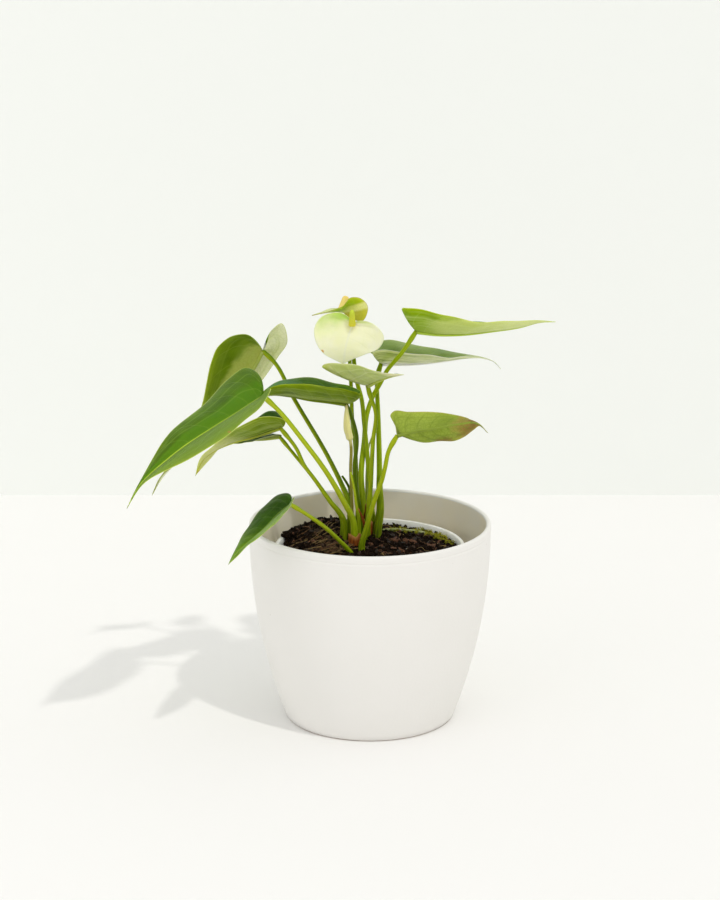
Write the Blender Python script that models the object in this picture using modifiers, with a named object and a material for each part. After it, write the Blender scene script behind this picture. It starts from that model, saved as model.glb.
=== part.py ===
# A flamingo flower (anthurium) in a white nursery pot that stands in a white outer pot.
# Metres, +Z up. The origin is the centre of the outer pot's foot, and the front of the plant is -Y.
# Each leaf, bloom part, sheath and pot is a solid of its own. The stems stand in holes in the soil.

import math
import random

import bmesh
import bpy
import numpy as np
from mathutils import Vector, noise

# Outer pot
POT_RIM_RADIUS = 0.075
POT_FOOT_RADIUS = 0.0525
POT_HEIGHT = 0.1255
POT_WALL = 0.003
POT_FLOOR = 0.004
POT_SWELL = 2.1              # the radius falls with this power of the depth below the rim
POT_FOOT_ROUND = 0.0015
POT_STEPS = 48
POT_INNER_RINGS = 6
POT_RIM_RINGS = 4
POT_OUTER_RINGS = 8

# Nursery pot, a standard 12 cm one
NURSERY_RIM_RADIUS = 0.059
NURSERY_TOP = 0.110
NURSERY_LIP = 0.0014         # how far the lip stands out from the wall
NURSERY_LIP_HEIGHT = 0.003
NURSERY_FOOT_RADIUS = 0.043
NURSERY_WALL = 0.0009
NURSERY_STEPS = 40
DRAIN_HOLE_RADIUS = 0.004
DRAIN_HOLE_RING = 0.028
DRAIN_HOLES = 6
DRILL_SIDES = 12

# Soil
SOIL_EDGE_HEIGHT = 0.1055    # where the soil meets the nursery pot's wall
SOIL_MOUND = 0.0065          # how far it is heaped round the stems
SOIL_MOUND_PLACE = (-0.012, 0.022)
SOIL_MOUND_SPREAD = 0.028
SOIL_BUMP = 0.0009
SOIL_BUMP_SCALE = 160
SOIL_STEPS = 36
SOIL_RINGS = 7
BARK_CHIPS = 30
BARK_SEED = 7
BARK_SPREAD = 0.048          # radius within which the chips lie
BARK_LENGTH = (0.004, 0.009)
BARK_WIDTH = (0.002, 0.004)
BARK_THICKNESS = 0.003
BARK_TILT = 0.3
BARK_KEEP_OFF = 0.0075       # clear distance from a chip's middle to a stem
GAP = 0.0003                 # between pieces that touch

GREEN = (0.10, 0.24, 0.02)
DARK_GREEN = (0.04, 0.15, 0.015)
OLIVE = (0.20, 0.33, 0.04)
PALE_GREEN = (0.36, 0.48, 0.20)
LIME = (0.42, 0.58, 0.06)
YELLOW = (0.80, 0.60, 0.12)
CREAM = (0.85, 0.87, 0.62)
WHITE = (0.80, 0.79, 0.76)
PEAT = (0.035, 0.018, 0.010)
PAPER_BROWN = (0.42, 0.17, 0.04)

# Leaves, blooms and stems, in millimetres from here on
MM = 0.001
BLADE = 0.0008               # thickness in metres, as the modifier takes it
SPATHE = 0.0009
BLADE_ROWS = 12
BLADE_COLUMNS = 3
SPATHE_ROWS = 14
SPATHE_COLUMNS = 4
SPINE_POINTS = 60
LOBE_SHARE = 0.03            # rows that end before this share of the midrib start at the node
VEIN_SLANT = 1.25            # how much the side veins slant forward
RIPPLE = 0.012               # height of the swelling between side veins, for each unit of width
RIB_SHARE = 0.6              # how much of the midrib stands out as a rib
RIB_START = 0.85             # of the petiole's radius
RIB_END = 0.55
RIB_POINTS = 7
RIB_DROP = 0.35              # how far its middle lies under the blade's
STEM_BEVEL = 2
STEM_DEPTH = 100             # height of the stems' lower ends
STEM_HOLE_GAP = 0.4
SHEATH_FALL = 2.2            # how fast a stem thins above its sheathed foot
PETIOLE_POINTS = 12
STALK_POINTS = 12
SPEAR_POINTS = 10
HOLE_POINTS = 6
HOLE_TOP = 134.5             # the holes' cutters end above this, over the highest soil
SCALE_HOLE_DEPTH = 20
SPADIX_SIDES = 14
SPADIX_RINGS = 16
SPADIX_TAPER = 0.25
SPADIX_END = 0.2             # share of the height that the round end takes
SPADIX_BUMP = 0.07
ROLL_RINGS = 22
ROLL_SIDES = 10
ROLL_OVERLAP = 0.22

# A leaf's petiole runs from the soil to the node, where the blade's midrib starts and goes on to
# the tip. left and right are points on the margin of each half, seen from above with the tip
# ahead, from the notch at the node round the lobe towards the tip. face is the way that the upper
# side looks, and bow how far each half bulges that way for each millimetre of its width. stem
# holds the petiole's radius at the soil and at the node.
LEAVES = {
    "leaf_front_left": dict(
        colour=GREEN, stem=(2.6, 1.4), face=(0, -0.1, 1), bow=(0.10, 0.10),
        petiole=[(-9.5, 2, 112), (-10.5, 0, 126), (-16, -5, 139), (-24.5, -10, 156),
                 (-41, -19, 182.5), (-55.5, -24, 202.5)],
        midrib=[(-64.5, -26, 212), (-78.5, -41, 206), (-93.5, -53, 199), (-110.5, -66, 190.5),
                (-125, -75, 180.5), (-134.5, -81, 172.5), (-143, -85, 158.5)],
        left=[(-61.5, -30, 217), (-59.5, -36, 218.5), (-63.5, -44, 212.5), (-78, -66, 203.5),
              (-96, -80, 193), (-119.5, -84, 181.5), (-133.5, -83, 172.5)],
        right=[(-64.5, -22, 216), (-68, -12, 222.5), (-76, -4, 224), (-86, -10, 218.5),
               (-102, -33, 206), (-118, -52, 197.5), (-129, -68, 183.5), (-136, -79, 172.5)]),
    "leaf_back_left": dict(
        colour=OLIVE, stem=(2.5, 1.3), face=(-0.2, 0.7, 0.6), bow=(0.12, 0.08),
        petiole=[(-12.5, 13, 112), (-13.5, 16, 134.5), (-17.5, 19, 143.5), (-24.5, 24, 157),
                 (-48, 35, 196), (-60, 40, 217.5)],
        midrib=[(-67, 42, 224), (-73, 48, 211.5), (-85.5, 58, 190), (-103.5, 68, 165.5),
                (-122.5, 75, 143.5), (-135.5, 78, 131.5), (-141.5, 81, 118)],
        left=[(-70, 38, 229.5), (-77, 31, 237), (-85.5, 29, 236.5), (-94, 32, 229.5),
              (-99, 38, 217.5), (-102.5, 46, 204), (-106.5, 56, 185), (-118.5, 70, 154),
              (-133.5, 77.5, 134.5)],
        right=[(-65, 42, 227.5), (-61.5, 39, 237.5), (-55.5, 38, 242.5), (-51.5, 42, 230.5),
               (-58.5, 49, 217), (-68, 56, 202), (-82.5, 64, 180), (-106, 73, 152.5),
               (-120.5, 76, 144.5), (-132.5, 78.5, 133)]),
    "leaf_mid_left": dict(
        colour=OLIVE, stem=(1.8, 1.2), face=(0, 0, 1), bow=(-0.06, 0.08),
        petiole=[(-15.5, 5, 112), (-16, 4.5, 125), (-25, 5, 137.5), (-34.5, 6, 151),
                 (-40.5, 7.5, 159), (-45.5, 9, 169.5)],
        midrib=[(-55.5, 9, 183), (-70, 12, 177), (-84, 16, 172), (-97, 20, 165),
                (-104.5, 23, 158), (-109.5, 25, 147.5)],
        left=[(-53, 4, 185.5), (-52, -1, 189.5), (-55.5, -6, 193.5), (-66, -8, 194),
              (-74.5, -6, 190.5), (-85.5, -1, 183.5), (-99, 12, 169), (-106.5, 21, 159)],
        right=[(-53.5, 15, 185), (-56, 23, 188.5), (-63.5, 28, 188.5), (-72.5, 30, 182.5),
               (-86.5, 29, 170.5), (-95, 28, 163.5), (-101, 27, 157)]),
    "leaf_low_left": dict(
        colour=DARK_GREEN, stem=(1.5, 1.1), face=(0, 0, 1), bow=(0.06, 0.04),
        petiole=[(-17.5, 10.5, 112), (-17.5, 11.5, 123), (-25.5, 12.5, 135), (-34.5, 13, 148.5),
                 (-40.5, 13, 156.5), (-47.5, 12.5, 165.5)],
        midrib=[(-56, 12, 176.5), (-66, 15, 174), (-74, 18, 172.5), (-80, 20, 171),
                (-85, 21, 169.5)],
        left=[(-54.5, 9.5, 178), (-57, 7.5, 179), (-66, 8, 176.5), (-75, 12, 173),
              (-81, 17.5, 170.5)],
        right=[(-55.5, 16, 176.5), (-59, 20, 176), (-66, 24, 174.5), (-74, 25, 173),
               (-80, 24, 171.5)]),
    "leaf_centre_left": dict(
        colour=DARK_GREEN, stem=(2.0, 1.3), face=(0, 0, 1), bow=(-0.06, 0.08),
        petiole=[(-6, 14, 112), (-7, 14, 131.5), (-8.5, 14.5, 141.5), (-9.5, 15, 154),
                 (-8.5, 16, 177), (-10, 16, 183.5)],
        midrib=[(-15, 16, 196.5), (-24.5, 15, 198), (-37, 14, 199.5), (-50, 9, 203),
                (-62.5, 4, 204.5), (-70.5, 0, 202)],
        left=[(-10, 13, 198.5), (-6, 7, 203.5), (-7.5, 2, 207), (-13, -1, 209), (-24, -4, 212),
              (-38.5, -8, 214.5), (-53, -11, 215.5), (-63, -9, 211.5)],
        right=[(-10, 20, 199), (-6, 22, 202.5), (-12, 24, 205.5), (-20, 27, 206.5),
               (-32.5, 30, 209), (-43.5, 29, 210), (-54, 24, 209.5), (-64, 12, 207)]),
    "leaf_centre_front": dict(
        colour=PALE_GREEN, stem=(2.1, 1.3), face=(-0.3, 0.3, 0.9), bow=(0.04, -0.05),
        petiole=[(-1.5, 12, 112), (-1, 11.5, 127.5), (0.5, 11, 145.5), (1, 11, 156),
                 (2, 11.5, 174.5), (3.5, 12.5, 192.5), (0.5, 12.5, 201.5)],
        midrib=[(-1.5, 12, 209), (5, 4, 214), (12, -5, 218.5), (20.5, -13, 222)],
        left=[(0.5, 18, 210.5), (4.5, 21, 213), (10.5, 12, 216.5), (16.5, -1, 219.5)],
        right=[(-7, 14, 211), (-15.5, 15, 214.5), (-25, 13, 218.5), (-29.5, 9, 221),
               (-28.5, 5, 224), (-25, 1, 226), (-16, -6, 227), (-7.5, -10, 227),
               (2.5, -13, 224.5), (11, -14, 223)]),
    "leaf_top_right": dict(
        colour=LIME, stem=(2.4, 1.3), face=(0, 0.3, 1), bow=(0.08, -0.06),
        petiole=[(-2, 20.5, 112), (-4.5, 22, 132.5), (-5.5, 25, 148.5), (-3.5, 31, 168.5),
                 (-2, 32.5, 185), (2, 32, 197.5), (6.5, 28.5, 206.5), (10, 25, 214.5),
                 (20, 19.5, 228.5)],
        midrib=[(28.5, 20, 241.5), (41, 17, 240.5), (56, 14, 241), (74.5, 11, 243.5),
                (92, 8.5, 246.5), (103, 6, 250), (113, 4, 251)],
        left=[(24.5, 28, 245.5), (22.5, 35, 249.5), (28, 40, 250), (38.5, 41, 248),
              (51, 38, 245), (67, 32, 244.5), (84.5, 22, 246), (101, 10, 250)],
        right=[(23.5, 16, 249.5), (19.5, 10, 258), (23, 5, 259), (32.5, 0, 259.5),
               (46, -4, 256.5), (63.5, -4, 253), (83, 0, 252), (100.5, 4, 252)]),
    "leaf_back_right": dict(
        colour=GREEN, stem=(2.5, 1.3), face=(0, 0, 1), bow=(0.08, -0.05),
        petiole=[(4.5, 17, 112), (6.5, 19, 127), (6, 21, 142.5), (6, 24, 149), (5.5, 32, 173.5),
                 (5, 36, 188.5), (4.5, 39, 199), (4.5, 40, 206.5)],
        midrib=[(7, 40, 216.5), (29.5, 46, 215), (48.5, 50, 216), (63, 53, 217),
                (70.5, 54.5, 216.5), (78.5, 56, 213.5), (83, 57, 208.5)],
        left=[(4.5, 46, 219), (0, 53, 221), (2.5, 60, 224), (9, 64, 225.5), (23.5, 67, 223.5),
              (35.5, 67, 220.5), (49, 65, 219), (63.5, 60, 217), (72, 57, 216),
           (79, 57, 213)],
        right=[(4.5, 35, 221.5), (1.5, 30, 225.5), (5.5, 26, 228), (17.5, 22, 228),
               (31, 24, 226), (47.5, 33, 222), (61, 46.5, 219),
            (70, 53, 217), (78, 55.5, 214)]),
    "leaf_low_right": dict(
        colour=OLIVE, stem=(2.1, 1.3), face=(0, 0.94, 0.34), bow=(-0.08, 0.06),
        petiole=[(-5, -5, 112), (-2.5, -5.5, 121.5), (2, -7, 139), (7.5, -9, 155.5),
                 (9, -10, 162), (11.5, -11.5, 174)],
        midrib=[(16.5, -12, 183.5), (28, -12, 186.5), (39.5, -12, 188), (52.5, -12, 190.5),
                (65, -12, 191), (72, -12, 185)],
        left=[(20.5, -11, 183.5), (25, -9, 180.5), (34, -6, 177.5), (43.5, -5, 178),
              (52.5, -6, 179), (58, -7, 181.5), (63.5, -9, 186.5),
           (66.5, -11.5, 189.5)],
        right=[(15, -11, 190.5), (12.5, -9, 196), (14, -8, 197.5), (23, -6, 197),
               (36.5, -5, 196.5), (46, -5, 196), (56, -6, 194), (63.5, -9, 192),
            (67, -11.5, 190.5)]),
    "leaf_over_rim": dict(
        colour=DARK_GREEN, stem=(1.7, 1.2), face=(0, -0.1, 1), bow=(0.06, 0.10),
        petiole=[(-11, -7, 112), (-14.5, -11, 113.5), (-18.5, -15, 117), (-24.5, -21, 125),
                 (-34.5, -32, 136.5), (-40.5, -38, 142.5)],
        midrib=[(-48, -45, 149.5), (-54.5, -54, 146.5), (-64, -66, 139.5), (-72.5, -77, 135),
                (-79, -81, 130), (-84, -83, 123.5)],
        left=[(-46.5, -47, 153.5), (-45.5, -51, 155.5), (-48.5, -56, 150.5), (-53, -64, 147),
              (-62.5, -76, 141), (-72, -83, 135.5), (-78.5, -84, 129)],
        right=[(-47.5, -39, 152.5), (-50, -33, 153), (-55.5, -30, 151), (-62, -36, 148),
               (-70, -50, 142), (-76, -64, 136), (-80, -76, 131)]),
}

# The two blooms: a stalk, a spathe described as a leaf's blade is, and a spadix on it
BLOOMS = {
    "front": dict(
        spathe_colour=CREAM, spadix_colour=LIME, stem=(1.6, 1.3), face=(0, -0.93, 0.3),
        bow=(-0.05, -0.05),
        stalk=[(3, 24.5, 112), (0.5, 24.5, 132), (-0.5, 25, 146), (-2.5, 26.5, 170.5),
               (-3.5, 27, 180), (-5.5, 27.5, 198), (-8, 27.5, 207), (-10, 26.5, 222),
               (-11, 25.5, 240), (-11, 22.4, 245)],
        midrib=[(-11, 21, 245.5), (-13, 18.5, 239.5), (-15, 16.5, 232.5), (-16.5, 15, 222)],
        left=[(-9.5, 20.5, 247), (-4.5, 18, 248.5), (1, 15.5, 247.5), (5.5, 13.5, 244.5),
              (8.5, 12, 239.5), (5.5, 12.5, 232.5), (-3.5, 14, 228), (-12.5, 15, 224)],
        right=[(-13, 20, 250), (-18, 18, 253.5), (-24.5, 15, 254), (-30, 13, 252),
               (-34, 12, 245.5), (-33.5, 12, 237), (-29, 13, 229.5), (-21.5, 14.5, 224.5)],
        spadix=[(-11, 17.8, 245.8), (-11, 15, 256)], spadix_radius=2.2),
    "back": dict(
        spathe_colour=LIME, spadix_colour=YELLOW, stem=(1.5, 1.2), face=(0, 0.2, 1),
        bow=(-0.10, -0.05),
        stalk=[(-8, 26.5, 112), (-7.5, 27, 128.5), (-8.5, 28, 147.5), (-9.5, 29.5, 169.5),
               (-11, 31.5, 182), (-11.5, 33, 194.5), (-12, 34, 208), (-13.5, 35, 229.5),
               (-16, 34.3, 248.6)],
        midrib=[(-16, 34, 250), (-21.5, 33.5, 251.5), (-28.5, 32.5, 251), (-36, 31, 249)],
        left=[(-10, 31, 248), (-5, 27, 246.5), (-2, 23, 251.5), (-1.5, 21, 257),
              (-7, 20, 262.5), (-12, 19, 263), (-16.5, 20, 257.5), (-24, 24, 253.5),
              (-31, 28, 251)],
        right=[(-12.5, 38, 249), (-10, 43, 250.5), (-13.5, 48, 251), (-20, 49, 250),
               (-26, 44, 250), (-31.5, 37, 249.5)],
        spadix=[(-17.3, 35.3, 252), (-14, 38.5, 258.5)], spadix_radius=2.2),
}

# Small sheathing blades that rise between the stems, from the soil to the point
SPEARS = {
    "spear_light": dict(colour=LIME, stem=(1.6, 0.4),
                        route=[(-7, 7.5, 112), (-7, 7, 124), (-8.5, 6, 134), (-10, 5.5, 145.5),
                               (-12, 5, 155.5)]),
    "spear_dark": dict(colour=DARK_GREEN, stem=(1.2, 0.4),
                       route=[(-13.5, 19.5, 112), (-12.5, 20.5, 133), (-13, 21.5, 140.5),
                              (-15.5, 21.5, 145.5), (-17.5, 21.5, 148.5)]),
    "spear_pale": dict(colour=PALE_GREEN, stem=(1.2, 0.4),
                       route=[(-1, 29.5, 112), (-2, 29.5, 130.5), (-2, 30, 150),
                              (-0.5, 31, 165.5), (1.5, 31.5, 171.5)]),
}

# The youngest leaf, still rolled up on its stalk
YOUNG_LEAF = dict(
    stalk=[(-11.5, 8, 112), (-11, 8.5, 125), (-11.5, 9, 140), (-12, 9.5, 155), (-12, 8, 173.5)],
    roll=[(-12.5, 7.8, 176.5), (-14, 7.5, 182), (-14.5, 7.5, 190), (-14.5, 7.8, 198)],
    stalk_radius=1.0, roll_radii=[1.6, 2.6, 2.4, 0.8])

# Brown papery scales that stand round the foot of two petioles
SCALES = {
    "scale_front": dict(foot=(-9.5, 2), bottom=104, top=116.5, radius=3.4),
    "scale_back": dict(foot=(-2.2, 20.6), bottom=105, top=119, radius=3.4),
}
SCALE_WALL = 0.6
SCALE_SIDES = 18
SCALE_TEARS = ((3, 1.5), (5, 1.0))   # waves of the torn edge: how many round the ring, how high


def clear_scene():
    for obj in list(bpy.data.objects):
        bpy.data.objects.remove(obj, do_unlink=True)


def make_collection(name):
    collection = bpy.data.collections.new(name)
    bpy.context.scene.collection.children.link(collection)
    return collection


def make_material(name, colour, roughness, metallic=0.0):
    material = bpy.data.materials.new(name)
    material.use_nodes = True
    shader = material.node_tree.nodes["Principled BSDF"]
    shader.inputs["Base Color"].default_value = (*colour, 1)
    shader.inputs["Roughness"].default_value = roughness
    shader.inputs["Metallic"].default_value = metallic
    material.diffuse_color = (*colour, 1)
    return material


def add_object(name, mesh, collection, colour=None, roughness=0.5):
    obj = bpy.data.objects.new(name, mesh)
    collection.objects.link(obj)
    if colour:
        mesh.materials.append(make_material(name, colour, roughness))
    return obj


def add_cutter(name, mesh, collection):
    obj = add_object(name, mesh, collection)
    obj.hide_render = True
    obj.display_type = "WIRE"
    return obj


def smooth_curve(points, count):
    # Evenly spaced points on a smooth curve through the given ones
    points = np.array(points, float)
    knots = np.r_[0, np.cumsum(np.linalg.norm(np.diff(points, axis=0), axis=1))]
    slopes = np.gradient(points, knots, axis=0)
    place = np.linspace(0, knots[-1], count)
    i = np.clip(np.searchsorted(knots, place, side="right") - 1, 0, len(knots) - 2)
    span = (knots[i + 1] - knots[i])[:, None]
    t = (place - knots[i])[:, None] / span
    return ((2 * t**3 - 3 * t**2 + 1) * points[i] + (t**3 - 2 * t**2 + t) * span * slopes[i]
            + (3 * t**2 - 2 * t**3) * points[i + 1] + (t**3 - t**2) * span * slopes[i + 1])


def unit(vectors):
    return vectors / np.linalg.norm(vectors, axis=-1, keepdims=True)


def turn_profile(name, profile, steps, collection, colour=None, roughness=0.5, ring=False):
    # A solid turned from a profile of (radius, height) that starts and ends on the axis. A ring's
    # profile is a loop off the axis.
    mesh = bpy.data.meshes.new(name)
    corners = [(radius, 0, height) for radius, height in profile]
    edges = [(i, i + 1) for i in range(len(corners) - 1)]
    if ring:
        edges.append((len(corners) - 1, 0))
    mesh.from_pydata(corners, edges, [])
    obj = add_object(name, mesh, collection, colour, roughness)
    screw = obj.modifiers.new("turn", "SCREW")
    screw.axis = "Z"
    screw.steps = steps
    screw.render_steps = steps
    screw.use_merge_vertices = True
    screw.merge_threshold = 0.00001
    return obj


def bake(obj):
    # Replaces an object's modifiers or curve by the mesh that they make
    evaluated = obj.evaluated_get(bpy.context.evaluated_depsgraph_get())
    mesh = bpy.data.meshes.new_from_object(evaluated)
    name = obj.name
    collection = obj.users_collection[0]
    place = obj.matrix_world.copy()
    bpy.data.objects.remove(obj, do_unlink=True)
    baked = bpy.data.objects.new(name, mesh)
    baked.matrix_world = place
    collection.objects.link(baked)
    baked.name = name
    return baked


def stem_tube(name, route, radii, collection, count, colour=None):
    # A round stem along a route, with a radius for each of the route's points
    points = smooth_curve(route, count)
    steps = np.linalg.norm(np.diff(np.array(route, float), axis=0), axis=1)
    reached = np.r_[0, np.cumsum(steps)]
    thickness = np.interp(np.linspace(0, reached[-1], count), reached, radii)
    curve = bpy.data.curves.new(name, "CURVE")
    curve.dimensions = "3D"
    curve.bevel_depth = 1.0
    curve.bevel_resolution = STEM_BEVEL
    curve.use_fill_caps = True
    spline = curve.splines.new("POLY")
    spline.points.add(count - 1)
    for point, place, radius in zip(spline.points, points, thickness):
        point.co = (*(place * MM), 1)
        point.radius = radius * MM
    tube = bake(add_object(name, curve, collection))
    shell = bmesh.new()
    shell.from_mesh(tube.data)
    bmesh.ops.remove_doubles(shell, verts=shell.verts, dist=0.000001)
    shell.to_mesh(tube.data)
    shell.free()
    if colour:
        tube.data.materials.clear()
        tube.data.materials.append(make_material(name, colour, 0.4))
    return tube


def hide_tool(obj):
    obj.hide_render = True
    obj.display_type = "WIRE"


def stem_radii(route, stem):
    # The sheathed foot is thick, and the stem is nearly at its final radius a third of the way up
    foot, top = stem
    shares = np.linspace(1, 0, len(route))
    return list(top + (foot - top) * shares**SHEATH_FALL)


def rooted(route):
    # The same route, carried straight down into the soil
    foot = route[0]
    return [(foot[0], foot[1], STEM_DEPTH)] + list(route)


def inner_shares(spine, margins):
    # How far along the midrib each row of the blade starts: none round the lobes, then further on,
    # and a little behind the margin, as the side veins slant forward
    shares = []
    for margin in margins:
        away = np.linalg.norm(margin[:, None] - spine[None], axis=2)
        shares.append(np.maximum.accumulate(away.argmin(axis=1) / (len(spine) - 1)))
    mean = (shares[0] + shares[1]) / 2
    mean[-1] = 1
    return np.where(mean < LOBE_SHARE, 0, mean**VEIN_SLANT)


def blade_mesh(name, leaf, rows, columns):
    # The middle surface of a blade: rows of points from the midrib to the margin of both halves
    spine = smooth_curve(leaf["midrib"], SPINE_POINTS)
    ends = [leaf["midrib"][0]], [leaf["midrib"][-1]]
    margins = [smooth_curve(ends[0] + leaf[half] + ends[1], rows + 1) for half in ("left", "right")]
    share = inner_shares(spine, margins) * (len(spine) - 1)
    start = np.stack([np.interp(share, np.arange(len(spine)), spine[:, k]) for k in range(3)], -1)
    across = np.linspace(0, 1, columns + 1)[None, :, None]
    ripple = RIPPLE * np.cos(math.pi * np.arange(rows + 1))[:, None, None]
    corners = []
    faces = []
    for half, margin in enumerate(margins):
        out = margin - start
        width = np.linalg.norm(out, axis=1, keepdims=True)
        ahead = out / np.maximum(width, 0.001)
        face = np.array(leaf["face"]) - (ahead @ np.array(leaf["face"]))[:, None] * ahead
        rise = (leaf["bow"][half] + ripple) * 4 * across * (1 - across) * (width * unit(face))[:, None]
        points = start[:, None] + across * out[:, None] + rise
        first = len(corners)
        corners += [tuple(point * MM) for point in points.reshape(-1, 3)]
        for row in range(rows):
            for column in range(columns):
                a = first + row * (columns + 1) + column
                quad = (a, a + 1, a + columns + 2, a + columns + 1)
                faces.append(quad if half else quad[::-1])
    mesh = bpy.data.meshes.new(name)
    mesh.from_pydata(corners, [], faces)
    sheet = bmesh.new()
    sheet.from_mesh(mesh)
    bmesh.ops.remove_doubles(sheet, verts=sheet.verts, dist=0.000002)
    bmesh.ops.triangulate(sheet, faces=sheet.faces)
    sheet.to_mesh(mesh)
    sheet.free()
    return mesh


def thicken(obj, thickness):
    solid = obj.modifiers.new("thickness", "SOLIDIFY")
    solid.thickness = thickness
    solid.offset = 0


def join_with(obj, other):
    # MANIFOLD, because the exact solver leaves nothing of some of the thin folded blades
    union = obj.modifiers.new("join", "BOOLEAN")
    union.operation = "UNION"
    union.solver = "MANIFOLD"
    union.object = other


def make_leaf(name, leaf, parts, tools):
    # The blade with its petiole, which goes on under it as the raised midrib
    blade = add_object(name, blade_mesh(name, leaf, BLADE_ROWS, BLADE_COLUMNS), parts,
                       leaf["colour"], 0.35)
    thicken(blade, BLADE)
    route = rooted(leaf["petiole"]) + [leaf["midrib"][0]]
    petiole = stem_tube(name + "_petiole", route, stem_radii(route, leaf["stem"]), tools,
                        PETIOLE_POINTS)
    spine = smooth_curve(leaf["midrib"], SPINE_POINTS)
    rib_route = spine[:int(RIB_SHARE * SPINE_POINTS)] - RIB_DROP * unit(np.array(leaf["face"]))
    rib_radii = np.linspace(leaf["stem"][1] * RIB_START, RIB_END, len(rib_route))
    rib = stem_tube(name + "_rib", rib_route, rib_radii, tools, RIB_POINTS)
    for tool in (petiole, rib):
        hide_tool(tool)
        join_with(blade, tool)


def make_spadix(name, bloom, parts):
    # A blunt finger, covered with rows of small bumps
    base, top = (np.array(end) * MM for end in bloom["spadix"])
    axis = top - base
    height = np.linalg.norm(axis)
    profile = [(0, 0)]
    for ring in range(SPADIX_RINGS + 1):
        share = ring / SPADIX_RINGS
        into_end = max(0, (share - 1 + SPADIX_END) / SPADIX_END)
        radius = (1 - SPADIX_TAPER * share) * math.sqrt(1 - into_end**2)
        profile.append((bloom["spadix_radius"] * MM * radius, height * share))
    obj = bake(turn_profile(name, profile[::-1], SPADIX_SIDES, parts))
    turn = Vector((0, 0, 1)).rotation_difference(Vector(axis))
    for vertex in obj.data.vertices:
        side = round(math.atan2(vertex.co.y, vertex.co.x) / (2 * math.pi) * SPADIX_SIDES)
        ring = round(vertex.co.z / height * SPADIX_RINGS)
        if 0 < ring < SPADIX_RINGS:
            bump = 1 + SPADIX_BUMP * (1 if (side + ring) % 2 else -1)
            vertex.co.x *= bump
            vertex.co.y *= bump
        vertex.co = turn @ vertex.co + Vector(base)
    obj.data.materials.clear()
    obj.data.materials.append(make_material(name, bloom["spadix_colour"], 0.6))


def make_bloom(name, bloom, parts):
    route = rooted(bloom["stalk"])
    stem_tube("bloom_%s_stalk" % name, route, stem_radii(route, bloom["stem"]), parts,
              STALK_POINTS, LIME)
    title = "bloom_%s_spathe" % name
    spathe = add_object(title, blade_mesh(title, bloom, SPATHE_ROWS, SPATHE_COLUMNS), parts,
                        bloom["spathe_colour"], 0.3)
    thicken(spathe, SPATHE)
    make_spadix("bloom_%s_spadix" % name, bloom, parts)


def make_young_leaf(parts):
    # A rolled blade on its stalk: the radius of the roll's rings steps once, at its outer edge
    stalk = rooted(YOUNG_LEAF["stalk"])
    path = stalk + YOUNG_LEAF["roll"]
    route = smooth_curve(path, ROLL_RINGS) * MM
    steps = np.linalg.norm(np.diff(np.array(path, float), axis=0), axis=1)
    reached = np.r_[0, np.cumsum(steps)]
    place = np.linspace(0, reached[-1], ROLL_RINGS)
    stalk_radii = [YOUNG_LEAF["stalk_radius"]] * len(stalk)
    radii = np.interp(place, reached, stalk_radii + YOUNG_LEAF["roll_radii"]) * MM
    direction = unit(np.gradient(route, axis=0))
    side = unit(np.cross(direction, (0, 1, 0)))
    other = np.cross(direction, side)
    shell = bmesh.new()
    rings = []
    for k, centre in enumerate(route):
        overlap = ROLL_OVERLAP if place[k] > reached[len(stalk)] else 0
        ring = []
        for step in range(ROLL_SIDES):
            angle = 2 * math.pi * step / ROLL_SIDES
            radius = radii[k] * (1 - overlap * step / ROLL_SIDES)
            spoke = math.cos(angle) * side[k] + math.sin(angle) * other[k]
            ring.append(shell.verts.new(centre + radius * spoke))
        rings.append(ring)
    for low, high in zip(rings, rings[1:]):
        for step in range(ROLL_SIDES):
            after = (step + 1) % ROLL_SIDES
            shell.faces.new((low[step], low[after], high[after], high[step]))
    shell.faces.new(rings[0])
    shell.faces.new(rings[-1])
    bmesh.ops.recalc_face_normals(shell, faces=shell.faces)
    bmesh.ops.triangulate(shell, faces=shell.faces)
    mesh = bpy.data.meshes.new("young_leaf")
    shell.to_mesh(mesh)
    shell.free()
    add_object("young_leaf", mesh, parts, CREAM, 0.5)


def make_scale(name, scale, parts):
    # A papery ring that stands round the foot of a petiole, with a torn upper edge
    inner = scale["radius"] * MM
    outer = inner + SCALE_WALL * MM
    bottom, top = scale["bottom"] * MM, scale["top"] * MM
    profile = [(inner, bottom), (inner, top), (outer, top), (outer, bottom)]
    obj = bake(turn_profile(name, profile, SCALE_SIDES, parts, ring=True))
    for vertex in obj.data.vertices:
        if vertex.co.z > (bottom + top) / 2:
            angle = math.atan2(vertex.co.y, vertex.co.x)
            for count, tear_height in SCALE_TEARS:
                vertex.co.z += tear_height * MM * math.sin(count * angle + count)
        vertex.co += Vector((*scale["foot"], 0)) * MM
    obj.data.materials.clear()
    obj.data.materials.append(make_material(name, PAPER_BROWN, 0.7))


def outer_radius(height):
    depth = 1 - height / POT_HEIGHT
    return POT_RIM_RADIUS - (POT_RIM_RADIUS - POT_FOOT_RADIUS) * depth**POT_SWELL


def make_outer_pot(parts):
    lip = POT_WALL / 2
    top = POT_HEIGHT - lip
    inner_levels = np.linspace(POT_FLOOR, top, POT_INNER_RINGS)
    inside = [(outer_radius(z) - POT_WALL, z) for z in inner_levels]
    middle = outer_radius(top) - lip
    turns = [math.pi * k / POT_RIM_RINGS for k in range(1, POT_RIM_RINGS)]
    rim = [(middle - lip * math.cos(turn), top + lip * math.sin(turn)) for turn in turns]
    outer_levels = np.linspace(top, POT_FOOT_ROUND, POT_OUTER_RINGS)
    outside = [(outer_radius(z), z) for z in outer_levels]
    foot = [(POT_FOOT_RADIUS - POT_FOOT_ROUND, 0), (0, 0)]
    profile = [(0, POT_FLOOR)] + inside + rim + outside + foot
    turn_profile("outer_pot", profile, POT_STEPS, parts, WHITE, 0.35)


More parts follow.
